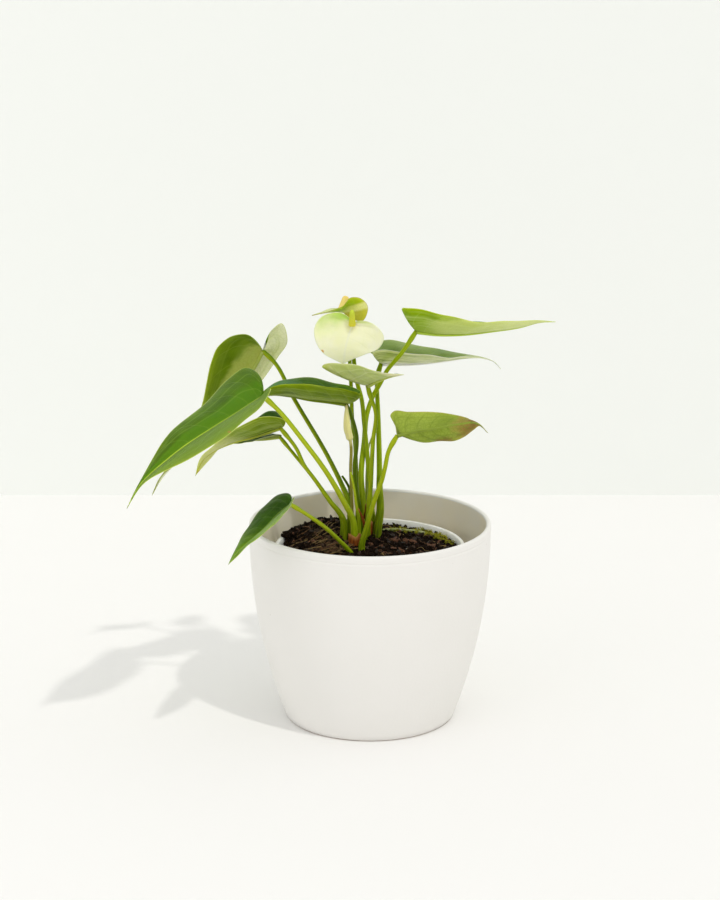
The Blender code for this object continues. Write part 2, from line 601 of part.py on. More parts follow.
def nursery_radius(height):
    # Inner radius of the nursery pot's wall
    bottom = POT_FLOOR + GAP
    foot = NURSERY_FOOT_RADIUS - NURSERY_WALL
    top = NURSERY_RIM_RADIUS - NURSERY_LIP - NURSERY_WALL
    return foot + (top - foot) * (height - bottom) / (NURSERY_TOP - bottom)


def make_nursery_pot(parts):
    bottom = POT_FLOOR + GAP
    floor = bottom + NURSERY_WALL
    under_lip = NURSERY_TOP - NURSERY_LIP_HEIGHT
    profile = [(0, floor), (nursery_radius(floor), floor),
               (nursery_radius(NURSERY_TOP), NURSERY_TOP), (NURSERY_RIM_RADIUS, NURSERY_TOP),
               (NURSERY_RIM_RADIUS, under_lip), (nursery_radius(under_lip) + NURSERY_WALL, under_lip),
               (NURSERY_FOOT_RADIUS, bottom), (0, bottom)]
    pot = turn_profile("nursery_pot", profile, NURSERY_STEPS, parts, WHITE, 0.4)
    holes = make_collection("drain_holes")
    for k in range(DRAIN_HOLES):
        angle = 2 * math.pi * k / DRAIN_HOLES
        place = (DRAIN_HOLE_RING * math.cos(angle), DRAIN_HOLE_RING * math.sin(angle),
                 (bottom + floor) / 2)
        drill("drain_hole", DRAIN_HOLE_RADIUS, 4 * NURSERY_WALL, place, holes)
    combine(pot, holes, "DIFFERENCE")


def drill(name, radius, depth, place, collection):
    mesh = bpy.data.meshes.new(name)
    shape = bmesh.new()
    bmesh.ops.create_cone(shape, cap_ends=True, segments=DRILL_SIDES, radius1=radius,
                          radius2=radius, depth=depth)
    shape.to_mesh(mesh)
    shape.free()
    add_cutter(name, mesh, collection).location = place


def combine(obj, collection, operation):
    # Joins a collection's objects to a solid or cuts them out of it, and removes them
    cut = obj.modifiers.new(collection.name, "BOOLEAN")
    cut.operation = operation
    cut.operand_type = "COLLECTION"
    cut.collection = collection
    bpy.context.view_layer.update()
    solid = bake(obj)
    for tool in list(collection.objects):
        bpy.data.objects.remove(tool, do_unlink=True)
    bpy.data.collections.remove(collection)
    return solid


def soil_height(x, y):
    away = math.hypot(x - SOIL_MOUND_PLACE[0], y - SOIL_MOUND_PLACE[1]) / SOIL_MOUND_SPREAD
    bump = noise.noise(Vector((x, y, 0)) * SOIL_BUMP_SCALE)
    return SOIL_EDGE_HEIGHT + SOIL_MOUND * math.exp(-away**2) + SOIL_BUMP * bump


def all_stems():
    # Route and foot radius of everything that stands in the soil
    stems = [(leaf["petiole"], leaf["stem"][0]) for leaf in LEAVES.values()]
    stems += [(bloom["stalk"], bloom["stem"][0]) for bloom in BLOOMS.values()]
    stems += [(spear["route"], spear["stem"][0]) for spear in SPEARS.values()]
    return stems + [(YOUNG_LEAF["stalk"], YOUNG_LEAF["stalk_radius"])]


def make_soil(parts):
    bottom = POT_FLOOR + 2 * GAP + NURSERY_WALL
    edge = nursery_radius(SOIL_EDGE_HEIGHT) - GAP
    profile = [(edge * k / SOIL_RINGS, SOIL_EDGE_HEIGHT) for k in range(SOIL_RINGS + 1)]
    profile += [(nursery_radius(bottom) - GAP, bottom), (0, bottom)]
    soil = bake(turn_profile("soil", profile, SOIL_STEPS, parts))
    for vertex in soil.data.vertices:
        if vertex.co.z > bottom + GAP:
            height = soil_height(vertex.co.x, vertex.co.y)
            at_edge = math.hypot(vertex.co.x, vertex.co.y) > edge - GAP
            vertex.co.z = min(height, SOIL_EDGE_HEIGHT) if at_edge else height
    soil.data.materials.clear()
    soil.data.materials.append(make_material("soil", PEAT, 0.9))
    return soil


def add_bark(soil):
    # Chips of bark, half sunk in the soil and joined to it
    draw = random.Random(BARK_SEED)
    chips = make_collection("bark_chips")
    feet = [route[0] for route, radius in all_stems()]
    while len(chips.objects) < BARK_CHIPS:
        angle = draw.uniform(0, 2 * math.pi)
        radius = BARK_SPREAD * math.sqrt(draw.random())
        x, y = radius * math.cos(angle), radius * math.sin(angle)
        size = (draw.uniform(*BARK_LENGTH), draw.uniform(*BARK_WIDTH), BARK_THICKNESS)
        turn = [draw.uniform(-BARK_TILT, BARK_TILT) for axis in "xy"] + [draw.uniform(0, math.pi)]
        if min(math.hypot(x - foot[0] * MM, y - foot[1] * MM) for foot in feet) < BARK_KEEP_OFF:
            continue
        mesh = bpy.data.meshes.new("bark")
        chip = bmesh.new()
        bmesh.ops.create_cube(chip, size=1)
        bmesh.ops.scale(chip, vec=size, verts=chip.verts)
        chip.to_mesh(mesh)
        chip.free()
        tool = add_cutter("bark", mesh, chips)
        tool.location = (x, y, soil_height(x, y))
        tool.rotation_euler = turn
    return combine(soil, chips, "UNION")


def cut_stem_holes(soil):
    # A plain hole round each stem and scale, a little wider than it is
    holes = make_collection("stem_holes")
    for route, radius in all_stems():
        foot = route[0]
        low = (foot[0], foot[1], STEM_DEPTH - STEM_HOLE_GAP)
        reach = [low] + [point for point in route if point[2] < HOLE_TOP]
        hide_tool(stem_tube("stem_hole", reach, [radius + STEM_HOLE_GAP] * len(reach), holes,
                            HOLE_POINTS))
    for scale in SCALES.values():
        radius = scale["radius"] + SCALE_WALL + STEM_HOLE_GAP
        middle = scale["bottom"] - STEM_HOLE_GAP + SCALE_HOLE_DEPTH / 2
        place = [value * MM for value in (*scale["foot"], middle)]
        drill("scale_hole", radius * MM, SCALE_HOLE_DEPTH * MM, place, holes)
    combine(soil, holes, "DIFFERENCE")


def main():
    clear_scene()
    parts = make_collection("potted_flamingo_flower")
    tools = make_collection("cutters")
    make_outer_pot(parts)
    make_nursery_pot(parts)
    soil = add_bark(make_soil(parts))
    cut_stem_holes(soil)
    for name, leaf in LEAVES.items():
        make_leaf(name, leaf, parts, tools)
    for name, bloom in BLOOMS.items():
        make_bloom(name, bloom, parts)
    make_young_leaf(parts)
    for name, spear in SPEARS.items():
        route = rooted(spear["route"])
        stem_tube(name, route, stem_radii(route, spear["stem"]), parts, SPEAR_POINTS,
                  spear["colour"])
    for name, scale in SCALES.items():
        make_scale(name, scale, parts)


main()
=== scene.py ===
import math
import random
from functools import partial

import bmesh
import bpy
import numpy as np
from mathutils import Euler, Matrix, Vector, noise


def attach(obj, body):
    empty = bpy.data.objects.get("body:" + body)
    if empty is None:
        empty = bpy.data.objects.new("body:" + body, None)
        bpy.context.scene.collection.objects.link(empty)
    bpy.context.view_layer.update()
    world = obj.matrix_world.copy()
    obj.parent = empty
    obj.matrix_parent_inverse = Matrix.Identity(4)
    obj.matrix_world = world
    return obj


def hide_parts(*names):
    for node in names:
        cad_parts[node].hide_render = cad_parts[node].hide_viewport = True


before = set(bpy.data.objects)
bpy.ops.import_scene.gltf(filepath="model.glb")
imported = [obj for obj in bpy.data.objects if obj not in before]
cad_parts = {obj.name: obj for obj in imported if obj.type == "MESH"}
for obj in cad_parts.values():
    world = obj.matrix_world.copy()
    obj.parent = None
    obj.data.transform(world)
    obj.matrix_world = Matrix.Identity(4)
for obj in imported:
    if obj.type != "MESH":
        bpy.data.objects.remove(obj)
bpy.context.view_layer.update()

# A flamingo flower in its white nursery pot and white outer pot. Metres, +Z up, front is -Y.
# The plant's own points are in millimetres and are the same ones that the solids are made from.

mm = 0.001
fullTurn = 2 * math.pi


# Helpers

def linear(hexColour):
    # sRGB hex to the linear values that Blender's sockets hold
    channels = [int(hexColour[k:k + 2], 16) / 255 for k in (1, 3, 5)]
    return (*[c / 12.92 if c <= 0.04045 else ((c + 0.055) / 1.055)**2.4 for c in channels], 1)


def perMetre(size):
    # A pattern's scale, from the size of one cell of it in millimetres
    return 1000 / size


def feed(tree, node, inputs):
    # Links a node's inputs to other nodes' outputs, or sets them to values and hex colours
    for key, value in inputs.items():
        if isinstance(value, bpy.types.NodeSocket):
            tree.links.new(value, node.inputs[key])
        else:
            node.inputs[key].default_value = linear(value) if isinstance(value, str) else value


def addNode(tree, kind, inputs, output=0, **settings):
    # A node with its settings, its values and its links; gives one of its outputs
    node = tree.nodes.new("ShaderNode" + kind)
    for name, value in settings.items():
        setattr(node, name, value)
    feed(tree, node, inputs)
    return node.outputs[output]


def newMaterial(name, sockets):
    # Gives the material, what adds nodes to it, and the place on the piece in metres
    material = bpy.data.materials.new(name)
    material.use_nodes = True
    tree = material.node_tree
    feed(tree, tree.nodes["Principled BSDF"], {"Subsurface Scale": 1.0, **sockets})
    return material, partial(addNode, tree), addNode(tree, "TexCoord", {}, "Object")


def finishSkin(material, colour, relief, others={}):
    # Colour and relief reach the shader; relief is a height, its strength and its depth in mm
    tree = material.node_tree
    height, strength, depth = relief
    bump = addNode(tree, "Bump", {"Height": height, "Strength": strength, "Distance": depth * mm})
    feed(tree, tree.nodes["Principled BSDF"], {"Base Color": colour, "Normal": bump, **others})
    return material


def pathLengths(points):
    steps = np.linalg.norm(np.diff(np.array(points, float), axis=0), axis=1)
    return np.r_[0, np.cumsum(steps)]


def smoothCurve(points, count):
    # Evenly spaced points on a smooth curve through the given ones
    points = np.array(points, float)
    knots = pathLengths(points)
    slopes = np.gradient(points, knots, axis=0)
    place = np.linspace(0, knots[-1], count)
    i = np.clip(np.searchsorted(knots, place, side="right") - 1, 0, len(knots) - 2)
    span = (knots[i + 1] - knots[i])[:, None]
    t = (place - knots[i])[:, None] / span
    return ((2 * t**3 - 3 * t**2 + 1) * points[i] + (t**3 - 2 * t**2 + t) * span * slopes[i]
            + (3 * t**2 - 2 * t**3) * points[i + 1] + (t**3 - t**2) * span * slopes[i + 1])


def unit(vectors):
    return vectors / np.maximum(np.linalg.norm(vectors, axis=-1, keepdims=True), 1e-9)


def smoothStep(low, high, value):
    t = np.clip((value - low) / (high - low), 0, 1)
    return t * t * (3 - 2 * t)


def polar(radius, turn):
    return radius * math.cos(turn), radius * math.sin(turn)


# A shape gathers points in millimetres, faces, material slots and named values for the shaders
markNames = ("veinRow", "veinGap", "midribAway", "basalAway", "edgeAway", "along", "across",
             "reach", "turn", "half")


def newShape():
    return dict(points=[], faces=[], slots=[], marks={name: [] for name in markNames}, count=0)


def addPart(shape, points, faces, slot=0, **marks):
    first = shape["count"]
    shape["points"].append(np.asarray(points, float))
    shape["faces"] += [tuple(first + corner for corner in face) for face in faces]
    shape["slots"] += [slot] * len(faces) if isinstance(slot, int) else list(slot)
    for name in markNames:
        values = np.asarray(marks.get(name, 0.0), float)
        shape["marks"][name].append(np.broadcast_to(values, (len(points),)))
    shape["count"] += len(points)


def addThing(name, data):
    thing = bpy.data.objects.new(name, data)
    bpy.context.scene.collection.objects.link(thing)
    return thing


def finishPiece(name, shape, materials, replaces=(), smooth=True):
    mesh = bpy.data.meshes.new(name)
    mesh.from_pydata(np.vstack(shape["points"]) * mm, [], shape["faces"])
    for mark, values in shape["marks"].items():
        joined = np.concatenate(values).astype(np.float32)
        if joined.any():
            mesh.attributes.new(mark, "FLOAT", "POINT").data.foreach_set("value", joined)
    for material in materials:
        mesh.materials.append(material)
    mesh.polygons.foreach_set("material_index", shape["slots"])
    mesh.polygons.foreach_set("use_smooth", [smooth] * len(mesh.polygons))
    mesh.validate()
    mesh.update()
    piece = addThing(name, mesh)
    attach(piece, "root")
    if replaces:
        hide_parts(*replaces)
    return piece


def ringFaces(rings, sides):
    return [(k * sides + s, k * sides + (s + 1) % sides, (k + 1) * sides + (s + 1) % sides,
             (k + 1) * sides + s) for k in range(rings - 1) for s in range(sides)]


def closedTube(rings, sides):
    last = (rings - 1) * sides
    return ringFaces(rings, sides) + [tuple(range(sides))[::-1], tuple(range(last, last + sides))]


def addTube(shape, centres, radii, sides, slot=0, outline=None, towards=(0, 12, 0)):
    # A round stem along centres; outline(turn, share) gives its cross-section's radius
    centres = np.asarray(centres, float)
    count = len(centres)
    reach = pathLengths(centres)
    tangents = unit(np.gradient(centres, axis=0))
    side = np.array(towards, float) - centres[0]
    turns = fullTurn * np.arange(sides) / sides
    points = []
    for k in range(count):
        side = unit(side - (side @ tangents[k]) * tangents[k])
        other = np.cross(tangents[k], side)
        radius = radii[k] * (outline(turns, k / (count - 1)) if outline else np.ones(sides))
        points.append(centres[k] + (radius * np.cos(turns))[:, None] * side
                      + (radius * np.sin(turns))[:, None] * other)
    addPart(shape, np.vstack(points), closedTube(count, sides), slot,
            reach=np.repeat(reach, sides), along=np.repeat(reach / reach[-1], sides),
            turn=np.tile(turns, count))


def addTurned(shape, profile, steps, slots):
    # A body turned round the Z axis from (radius, height) points; radius 0 makes a pole
    points, rings = [], []
    for radius, height in profile:
        count = 1 if radius == 0 else steps
        rings.append((len(points), count))
        points += [(*polar(radius, fullTurn * s / count), height) for s in range(count)]
    faces, faceSlots = [], []
    for (low, lowCount), (high, highCount), slot in zip(rings, rings[1:], slots):
        for s in range(steps):
            after = (s + 1) % steps
            corners = [low + s % lowCount, low + after % lowCount,
                       high + after % highCount, high + s % highCount]
            faces.append(tuple(c for i, c in enumerate(corners) if c != corners[i - 1]))
            faceSlots.append(slot)
    addPart(shape, points, faces, faceSlots)


# Camera, floor and light

view = dict(place=(-0.0062, -1.6036, 0.6065), downward=15.19, lens=108, sensor=36,
            nearest=0.1, farthest=20)
room = dict(wall=0.4915, reach=3, wallHeight=2.5, floorColour="#F3F2F0", wallColour="#F1F3EF",
            sky="#FFFFFF", ambient=0.87, sunStrength=0.75, sunWidth=2.2, sunColour="#FFFDF8",
            sunFrom=(0.34, -0.46, 0.82), fillStrength=3.0, fillSize=1.6,
            fillPlace=(-1.1, -1.2, 0.25), fillAim=(0, 0, 0.1))


def paintedBoard(name, colour):
    # Matt emulsion on board: rolled on, so it is even, has hardly any sheen and is stippled in
    # dots 2.5 mm across. From behind, the board lets the view through to the plant.
    material, add, place = newMaterial(name, {"Roughness": 0.9, "IOR": 1.45,
                                              "Specular IOR Level": 0.1})
    stipple = add("TexNoise", {"Vector": place, "Scale": perMetre(2.5), "Detail": 2})
    behind = add("NewGeometry", {}, "Backfacing")
    solid = add("Math", {0: 1, 1: behind}, operation="SUBTRACT")
    return finishSkin(material, colour, (stipple, 0.05, 0.2), {"Alpha": solid})


def makeRoom(look):
    back, reach = look["wall"], look["reach"]
    boards = dict(floor=((-reach, 0), "paintedFloor", "floorColour"),
                  wall=((back, look["wallHeight"]), "paintedWall", "wallColour"))
    for name, ((y, z), skin, colour) in boards.items():
        mesh = bpy.data.meshes.new(name)
        near = [(-reach, y, 0), (reach, y, 0)]
        far = [(reach, back, z), (-reach, back, z)]
        mesh.from_pydata(near + far, [], [(0, 1, 2, 3)])
        mesh.materials.append(paintedBoard(skin, look[colour]))
        board = addThing(name, mesh)
    world = bpy.data.worlds.new("studio")
    world.use_nodes = True
    sky = world.node_tree.nodes["Background"]
    feed(world.node_tree, sky, {"Color": look["sky"], "Strength": look["ambient"]})
    bpy.context.scene.world = world
    sun = addThing("sun", bpy.data.lights.new("sun", "SUN"))
    sun.data.energy = look["sunStrength"]
    sun.data.angle = math.radians(look["sunWidth"])
    sun.data.color = linear(look["sunColour"])[:3]
    sun.rotation_euler = Vector(look["sunFrom"]).to_track_quat("Z", "Y").to_euler()
    fill = addThing("fill", bpy.data.lights.new("fill", "AREA"))
    fill.data.shape = "DISK"
    fill.data.size = look["fillSize"]
    fill.data.energy = look["fillStrength"]
    fill.location = look["fillPlace"]
    fromPot = Vector(look["fillPlace"]) - Vector(look["fillAim"])
    fill.rotation_euler = fromPot.to_track_quat("Z", "Y").to_euler()


bpy.context.scene.view_settings.view_transform = "Standard"
camera = addThing("camera", bpy.data.cameras.new("camera"))
camera.location = view["place"]
camera.rotation_euler = (math.radians(90 - view["downward"]), 0, 0)
camera.data.lens = view["lens"]
camera.data.sensor_width = view["sensor"]
camera.data.clip_start = view["nearest"]
camera.data.clip_end = view["farthest"]
bpy.context.scene.camera = camera
makeRoom(room)
print("camera, floor and light are set")


# Outer pot

# inside is the inner wall's colour: painted shade, a warmer beige than the glaze for the tinted
# shade inside the pot
outerPot = dict(rimRadius=75, footRadius=52.5, height=125.5, wall=3, floor=4, swell=2.1,
                footRound=1.5, creaseBelow=3.4, creaseDepth=0.22, creaseWidth=0.5, footRing=5,
                ringHeight=0.8, steps=192, glaze="#EAE8E4", glazeShade="#E7E5E0",
                inside="#F0E3C0", speck="#A59A8C", clay="#9A7B5C", clayPale="#B79A7A")


def glazedStoneware(name, look, main):
    # Stoneware dipped in a white satin glaze and fired: soft wide highlights in clouds 33 mm
    # across, an even orange-peel skin of 2 mm, and a few pinholes of 0.4 mm where gas came
    # through, at most one in each cell of 11 mm
    material, add, place = newMaterial(name, {"IOR": 1.5, "Specular IOR Level": 0.3})
    cloud = add("TexNoise", {"Vector": place, "Scale": perMetre(33.33), "Detail": 3})
    body = add("Mix", {0: cloud, 6: main, 7: look["glazeShade"]}, 2, data_type="RGBA")
    cells = add("TexVoronoi", {"Vector": place, "Scale": perMetre(11.11)})
    hole = add("MapRange", {"Value": cells, 1: 0.02, 2: 0.034, 3: 1, 4: 0},
               interpolation_type="SMOOTHSTEP")
    some = add("TexNoise", {"Vector": place, "Scale": perMetre(22.22)})
    chosen = add("Math", {0: some, 1: 0.54}, operation="GREATER_THAN")
    mask = add("Math", {0: hole, 1: chosen}, operation="MULTIPLY")
    colour = add("Mix", {0: mask, 6: body, 7: look["speck"]}, 2, data_type="RGBA")
    peel = add("TexNoise", {"Vector": place, "Scale": perMetre(2.083), "Detail": 1})
    skin = add("Math", {0: mask, 1: -2, 2: peel}, operation="MULTIPLY_ADD")
    gloss = add("MapRange", {"Value": cloud, 3: 0.33, 4: 0.45})
    return finishSkin(material, colour, (skin, 0.12, 0.4), {"Roughness": gloss})


def bareClay(name, look):
    # The foot ring is wiped clean of glaze, so that the fired clay shows: matt, with 0.7 mm grit
    material, add, place = newMaterial(name, {"Roughness": 0.9, "IOR": 1.5})
    grit = add("TexNoise", {"Vector": place, "Scale": perMetre(0.6667), "Detail": 2})
    colour = add("Mix", {0: grit, 6: look["clay"], 7: look["clayPale"]}, 2, data_type="RGBA")
    return finishSkin(material, colour, (grit, 0.4, 0.2))


def outerRadius(pot, height):
    depth = 1 - height / pot["height"]
    return pot["rimRadius"] - (pot["rimRadius"] - pot["footRadius"]) * depth**pot["swell"]


def makeOuterPot(pot):
    lip, bend = pot["wall"] / 2, pot["footRound"]
    top, floor = pot["height"] - lip, pot["floor"]
    corner = 3   # the radius where the inner wall meets the floor
    fillet = [(outerRadius(pot, floor) - pot["wall"] - corner * (1 - math.sin(a)) - 0.2,
               floor + corner * (1 - math.cos(a))) for a in np.linspace(0, math.pi / 2.4, 6)]
    inside = [(outerRadius(pot, z) - pot["wall"], z) for z in np.linspace(floor + corner, top, 36)]
    middle = outerRadius(pot, top) - lip
    rim = [(middle - lip * math.cos(a), top + lip * math.sin(a))
           for a in np.linspace(0, math.pi, 14)[1:-1]]
    outside = []
    for z in np.r_[np.linspace(top, top - 6, 18), np.linspace(top - 7, bend, 44)]:
        crease = math.exp(-((top - z - pot["creaseBelow"]) / pot["creaseWidth"])**2)
        outside.append((outerRadius(pot, z) - pot["creaseDepth"] * crease, z))
    foot = [(pot["footRadius"] - bend * (1 - math.cos(a)), bend * (1 - math.sin(a)))
            for a in np.linspace(0.3, math.pi / 2, 6)]
    ring, under = pot["footRadius"] - pot["footRing"], pot["ringHeight"]
    profile = [(0, floor)] + fillet + inside + rim + outside + foot
    profile += [(ring, 0), (ring - 1, under), (0, under)]
    slots = [2 if k < len(fillet + inside) else 0 for k in range(len(profile) - 1)]
    for k in range(len(slots)):   # bare clay wherever the foot is lower than its ring
        if profile[k][1] < 0.7 and profile[k + 1][1] < 0.9:
            slots[k] = 1
    shape = newShape()
    addTurned(shape, profile[::-1], pot["steps"], slots[::-1])
    finishPiece("outerPot", shape, [glazedStoneware("whiteSatinGlaze", pot, pot["glaze"]),
                                    bareClay("firedClay", pot),
                                    # painted shade: the inside wall's glaze is painted warmer, for
                                    # the shade tinted by leaves and soil
                                    glazedStoneware("innerGlazePaintedShade", pot, pot["inside"])],
                ["outer_pot"])


makeOuterPot(outerPot)
print("outer pot is made")


# Nursery pot

nurseryPot = dict(rimRadius=59, top=110, lip=1.4, lipHeight=3, footRadius=43, wall=0.9, gap=0.3,
                  edge=0.35, holeRadius=4, holeRing=28, holes=6, steps=160,
                  plastic="#EFEFEC", stain="#D9D3C2")


def mouldedPolypropylene(name, look):
    # Thin white polypropylene, injection moulded: a low sheen, with lines from the mould 2 mm
    # apart, and water marks of 11 mm that dried on it
    material, add, place = newMaterial(name, {"Roughness": 0.42, "IOR": 1.49})
    stains = add("TexNoise", {"Vector": place, "Scale": perMetre(11.11), "Detail": 4})
    amount = add("MapRange", {"Value": stains, 1: 0.5, 2: 0.8, 3: 0, 4: 0.6})
    colour = add("Mix", {0: amount, 6: look["plastic"], 7: look["stain"]}, 2, data_type="RGBA")
    # this texture draws about three waves in each cell
    lines = add("TexWave", {"Vector": place, "Scale": perMetre(6.25), "Distortion": 2}, "Fac",
                bands_direction="Z")
    return finishSkin(material, colour, (lines, 0.06, 0.1))


def nurseryRadius(height):
    pot, bottom = nurseryPot, outerPot["floor"] + nurseryPot["gap"]
    foot = pot["footRadius"] - pot["wall"]
    top = pot["rimRadius"] - pot["lip"] - pot["wall"]
    return foot + (top - foot) * (height - bottom) / (pot["top"] - bottom)


def makeNurseryPot(pot):
    bottom, top, rim = outerPot["floor"] + pot["gap"], pot["top"], pot["rimRadius"]
    wall, edge, under = pot["wall"], pot["edge"], pot["top"] - pot["lipHeight"]
    inside = [(nurseryRadius(z), z) for z in np.linspace(bottom + wall, top - edge, 30)]
    lip = [(nurseryRadius(top) + edge, top), (rim - edge, top), (rim, top - edge),
           (rim, under + edge), (rim - edge, under), (nurseryRadius(under) + wall, under)]
    outside = [(nurseryRadius(z) + wall, z) for z in np.linspace(under - 0.5, bottom + 1, 30)]
    profile = [(0, bottom + wall)] + inside + lip + outside
    profile += [(pot["footRadius"] - 1, bottom), (0, bottom)]
    shape = newShape()
    addTurned(shape, profile[::-1], pot["steps"], [0] * len(profile))
    piece = finishPiece("nurseryPot", shape, [mouldedPolypropylene("whitePolypropylene", pot)],
                        ["nursery_pot"])
    drills = newShape()   # the drain holes in the floor are cut with all the drills at once
    for k in range(pot["holes"]):
        x, y = polar(pot["holeRing"], fullTurn * k / pot["holes"])
        addTube(drills, [(x, y, bottom - 1), (x, y, bottom + 2)], [pot["holeRadius"]] * 2, 32)
    drill = finishPiece("drills", drills, [])
    cut = piece.modifiers.new("drainHoles", "BOOLEAN")
    cut.operation = "DIFFERENCE"
    cut.solver = "MANIFOLD"
    cut.object = drill
    bpy.context.view_layer.update()
    solid = bpy.data.meshes.new_from_object(
        piece.evaluated_get(bpy.context.evaluated_depsgraph_get()))
    piece.modifiers.clear()
    piece.data = solid
    bpy.data.objects.remove(drill, do_unlink=True)


makeNurseryPot(nurseryPot)
print("nursery pot is made")


# Leaves

# midrib, left, right, face and bow are the blade's form; the petiole runs from the soil to it.
# patches are coloured areas on a blade, by their place along (0 notch, 1 tip) and across (0
# midrib, 1 margin) one half, round a point, inside a slanting line or between two planes.
bladeForm = dict(rows=132, columns=20, cadRows=12, thickness=0.5, spinePoints=60,
                 lobeShare=0.03, veinSlant=1.25, ripple=0.008, pucker=0.09, veinBend=0.9,
                 basals=((0.38, 0.36), (0.70, 0.22)), basalDip=0.10, midribDip=0.22)
stalkForm = dict(soilDepth=100, rings=90, sides=18, kneeSize=0.28, kneeBelow=5, kneeLength=3.5,
                 groove=0.16, wings=0.22)
sideLook = dict(glow=0.65, lanes=9.0, veinShow=0.15, net=0.12, rough=0.42, relief=0.32)
upperSide = dict(sideLook, shine=0.15, streaks=0.06, basalShow=0.1, veinHeight=-1.0)
underSide = dict(sideLook, shine=0.08, streaks=0.2, basalShow=0.4, veinHeight=1.0)


def innerShares(spine, margins, form):
    # Where on the midrib each row of a blade starts, from where its margin is nearest to it
    shares = []
    for margin in margins:
        away = np.linalg.norm(margin[:, None] - spine[None], axis=2)
        shares.append(np.maximum.accumulate(away.argmin(axis=1) / (len(spine) - 1)))
    mean = (shares[0] + shares[1]) / 2
    mean[-1] = 1
    return np.where(mean < form["lobeShare"], 0, mean**form["veinSlant"])


def halfBlade(leaf, form, half, start, margin):
    # Rows of points from the midrib to the margin, and what the shaders read at each
    rows, columns = form["rows"], form["columns"]
    veins = leaf["veins"]
    waves, height = leaf["waves"]
    t = np.linspace(0, 1, rows + 1)[:, None]
    c = np.linspace(0, 1, columns + 1)[None, :]
    spread = margin - start
    width = np.linalg.norm(spread, axis=1, keepdims=True)
    ahead = spread / np.maximum(width, 0.001)
    face = np.array(leaf["face"])
    face = unit(face - (ahead @ face)[:, None] * ahead)
    bulge = 4 * c * (1 - c)
    calm = np.sin(math.pi * t) * smoothStep(0, 0.15, t)
    ripple = form["ripple"] * np.cos(math.pi * form["cadRows"] * t)
    veinRow = t * veins - form["veinBend"] * c**2
    basals = [(c - place * smoothStep(0, by, t) - (0.92 - place) * smoothStep(0.45, 1, t)) * width
              for place, by in form["basals"]]
    basal = np.where(np.abs(basals[0]) < np.abs(basals[1]), *basals)
    rise = (leaf["bow"][half] + ripple) * bulge * width
    rise = rise + form["pucker"] * np.sin(math.pi * veinRow)**2 * bulge * calm * 2
    rise = rise - form["basalDip"] * np.exp(-(basal / 1.3)**2) * calm * smoothStep(0, 0.1, t)
    rise = rise + height * calm * c**3 * np.sin(fullTurn * waves * t + 2 * half)
    surface = start[:, None] + c[..., None] * spread[:, None] + rise[..., None] * face[:, None]
    gap = np.linalg.norm(np.gradient(surface, axis=0), axis=2) * rows / veins
    marks = dict(veinRow=veinRow, veinGap=gap, midribAway=c * width, basalAway=basal,
                 edgeAway=(1 - c) * width, along=t, across=c, half=half * 2 - 1)
    size = (rows + 1, columns + 1)
    marks = {name: np.broadcast_to(value, size).ravel() for name, value in marks.items()}
    return surface.reshape(-1, 3), marks


def addBlade(shape, leaf, form):
    # A thin closed shell round the blade's middle surface; upper side slot 0, under side slot 1
    rows, columns = form["rows"], form["columns"]
    midrib = leaf["midrib"]
    spine = smoothCurve(midrib, form["spinePoints"])
    margins = [smoothCurve([midrib[0]] + leaf[half] + [midrib[-1]], rows + 1)
               for half in ("left", "right")]
    share = innerShares(spine, margins, form) * (len(spine) - 1)
    start = np.stack([np.interp(share, np.arange(len(spine)), spine[:, k]) for k in range(3)], -1)
    halves = [halfBlade(leaf, form, half, start, margin) for half, margin in enumerate(margins)]
    points = np.vstack([half[0] for half in halves])
    marks = {name: np.concatenate([half[1][name] for half in halves]) for name in halves[0][1]}
    # points that lie on each other become one
    first, same = np.unique(np.round(points / 0.002).astype(int), axis=0,
                            return_index=True, return_inverse=True)[1:]
    same = same.ravel()
    faces = []
    for half in range(2):
        for row in range(rows):
            for column in range(columns):
                a = (half * (rows + 1) + row) * (columns + 1) + column
                quad = (a, a + 1, a + columns + 2, a + columns + 1)
                quad = [same[i] for i in (quad if half else quad[::-1])]
                quad = [i for k, i in enumerate(quad) if i != quad[k - 1]]
                if len(quad) > 2:
                    faces.append(tuple(quad))
    points = points[first]
    marks = {name: value[first] for name, value in marks.items()}
    normals = np.zeros_like(points)
    for face in faces:
        a, b, d = points[face[0]], points[face[1]], points[face[-1]]
        normals[list(face)] += np.cross(b - a, d - a)
    normals = unit(normals)
    edges = dict.fromkeys((a, b) for face in faces for a, b in zip(face, face[1:] + face[:1]))
    rim = [edge for edge in edges if edge[::-1] not in edges]
    thin = form["thickness"] / 2 * (1 - 0.65 * marks["across"]**5)
    dip = form["midribDip"] * np.exp(-(marks["midribAway"] / 0.9)**2)
    upper = points + normals * (thin - dip)[:, None]
    under = points - normals * thin[:, None]
    count = len(points)
    shell = list(faces)
    shell += [tuple(i + count for i in face[::-1]) for face in faces]
    shell += [(b, a, a + count, b + count) for a, b in rim]
    slots = [0] * len(faces) + [1] * (len(faces) + len(rim))
    both = {name: np.tile(value, 2) for name, value in marks.items()}
    addPart(shape, np.vstack([upper, under]), shell, slots, **both)
    return spine


def stemRadii(route, stem, count):
    # Thick at the sheathed foot, and nearly at the final radius a third of the way up
    foot, top = stem
    radii = top + (foot - top) * np.linspace(1, 0, len(route))**2.2
    reached = pathLengths(route)
    return np.interp(np.linspace(0, reached[-1], count), reached, radii), reached[-1]


def fromBelow(route):
    # A stalk's route, with a first point deeper in the soil
    return [(*route[0][:2], stalkForm["soilDepth"])] + list(route)


def petioleOutline(turns, share):
    # A groove along the upper side, and the two edges of the sheath low down
    groove = stalkForm["groove"] * np.exp(-(np.angle(np.exp(1j * turns)) / 0.45)**2)
    wings = stalkForm["wings"] * np.abs(np.sin(turns))**3 * float(smoothStep(0.35, 0.12, share))
    return 1 - groove * float(smoothStep(0.1, 0.3, share)) + 0.4 * wings


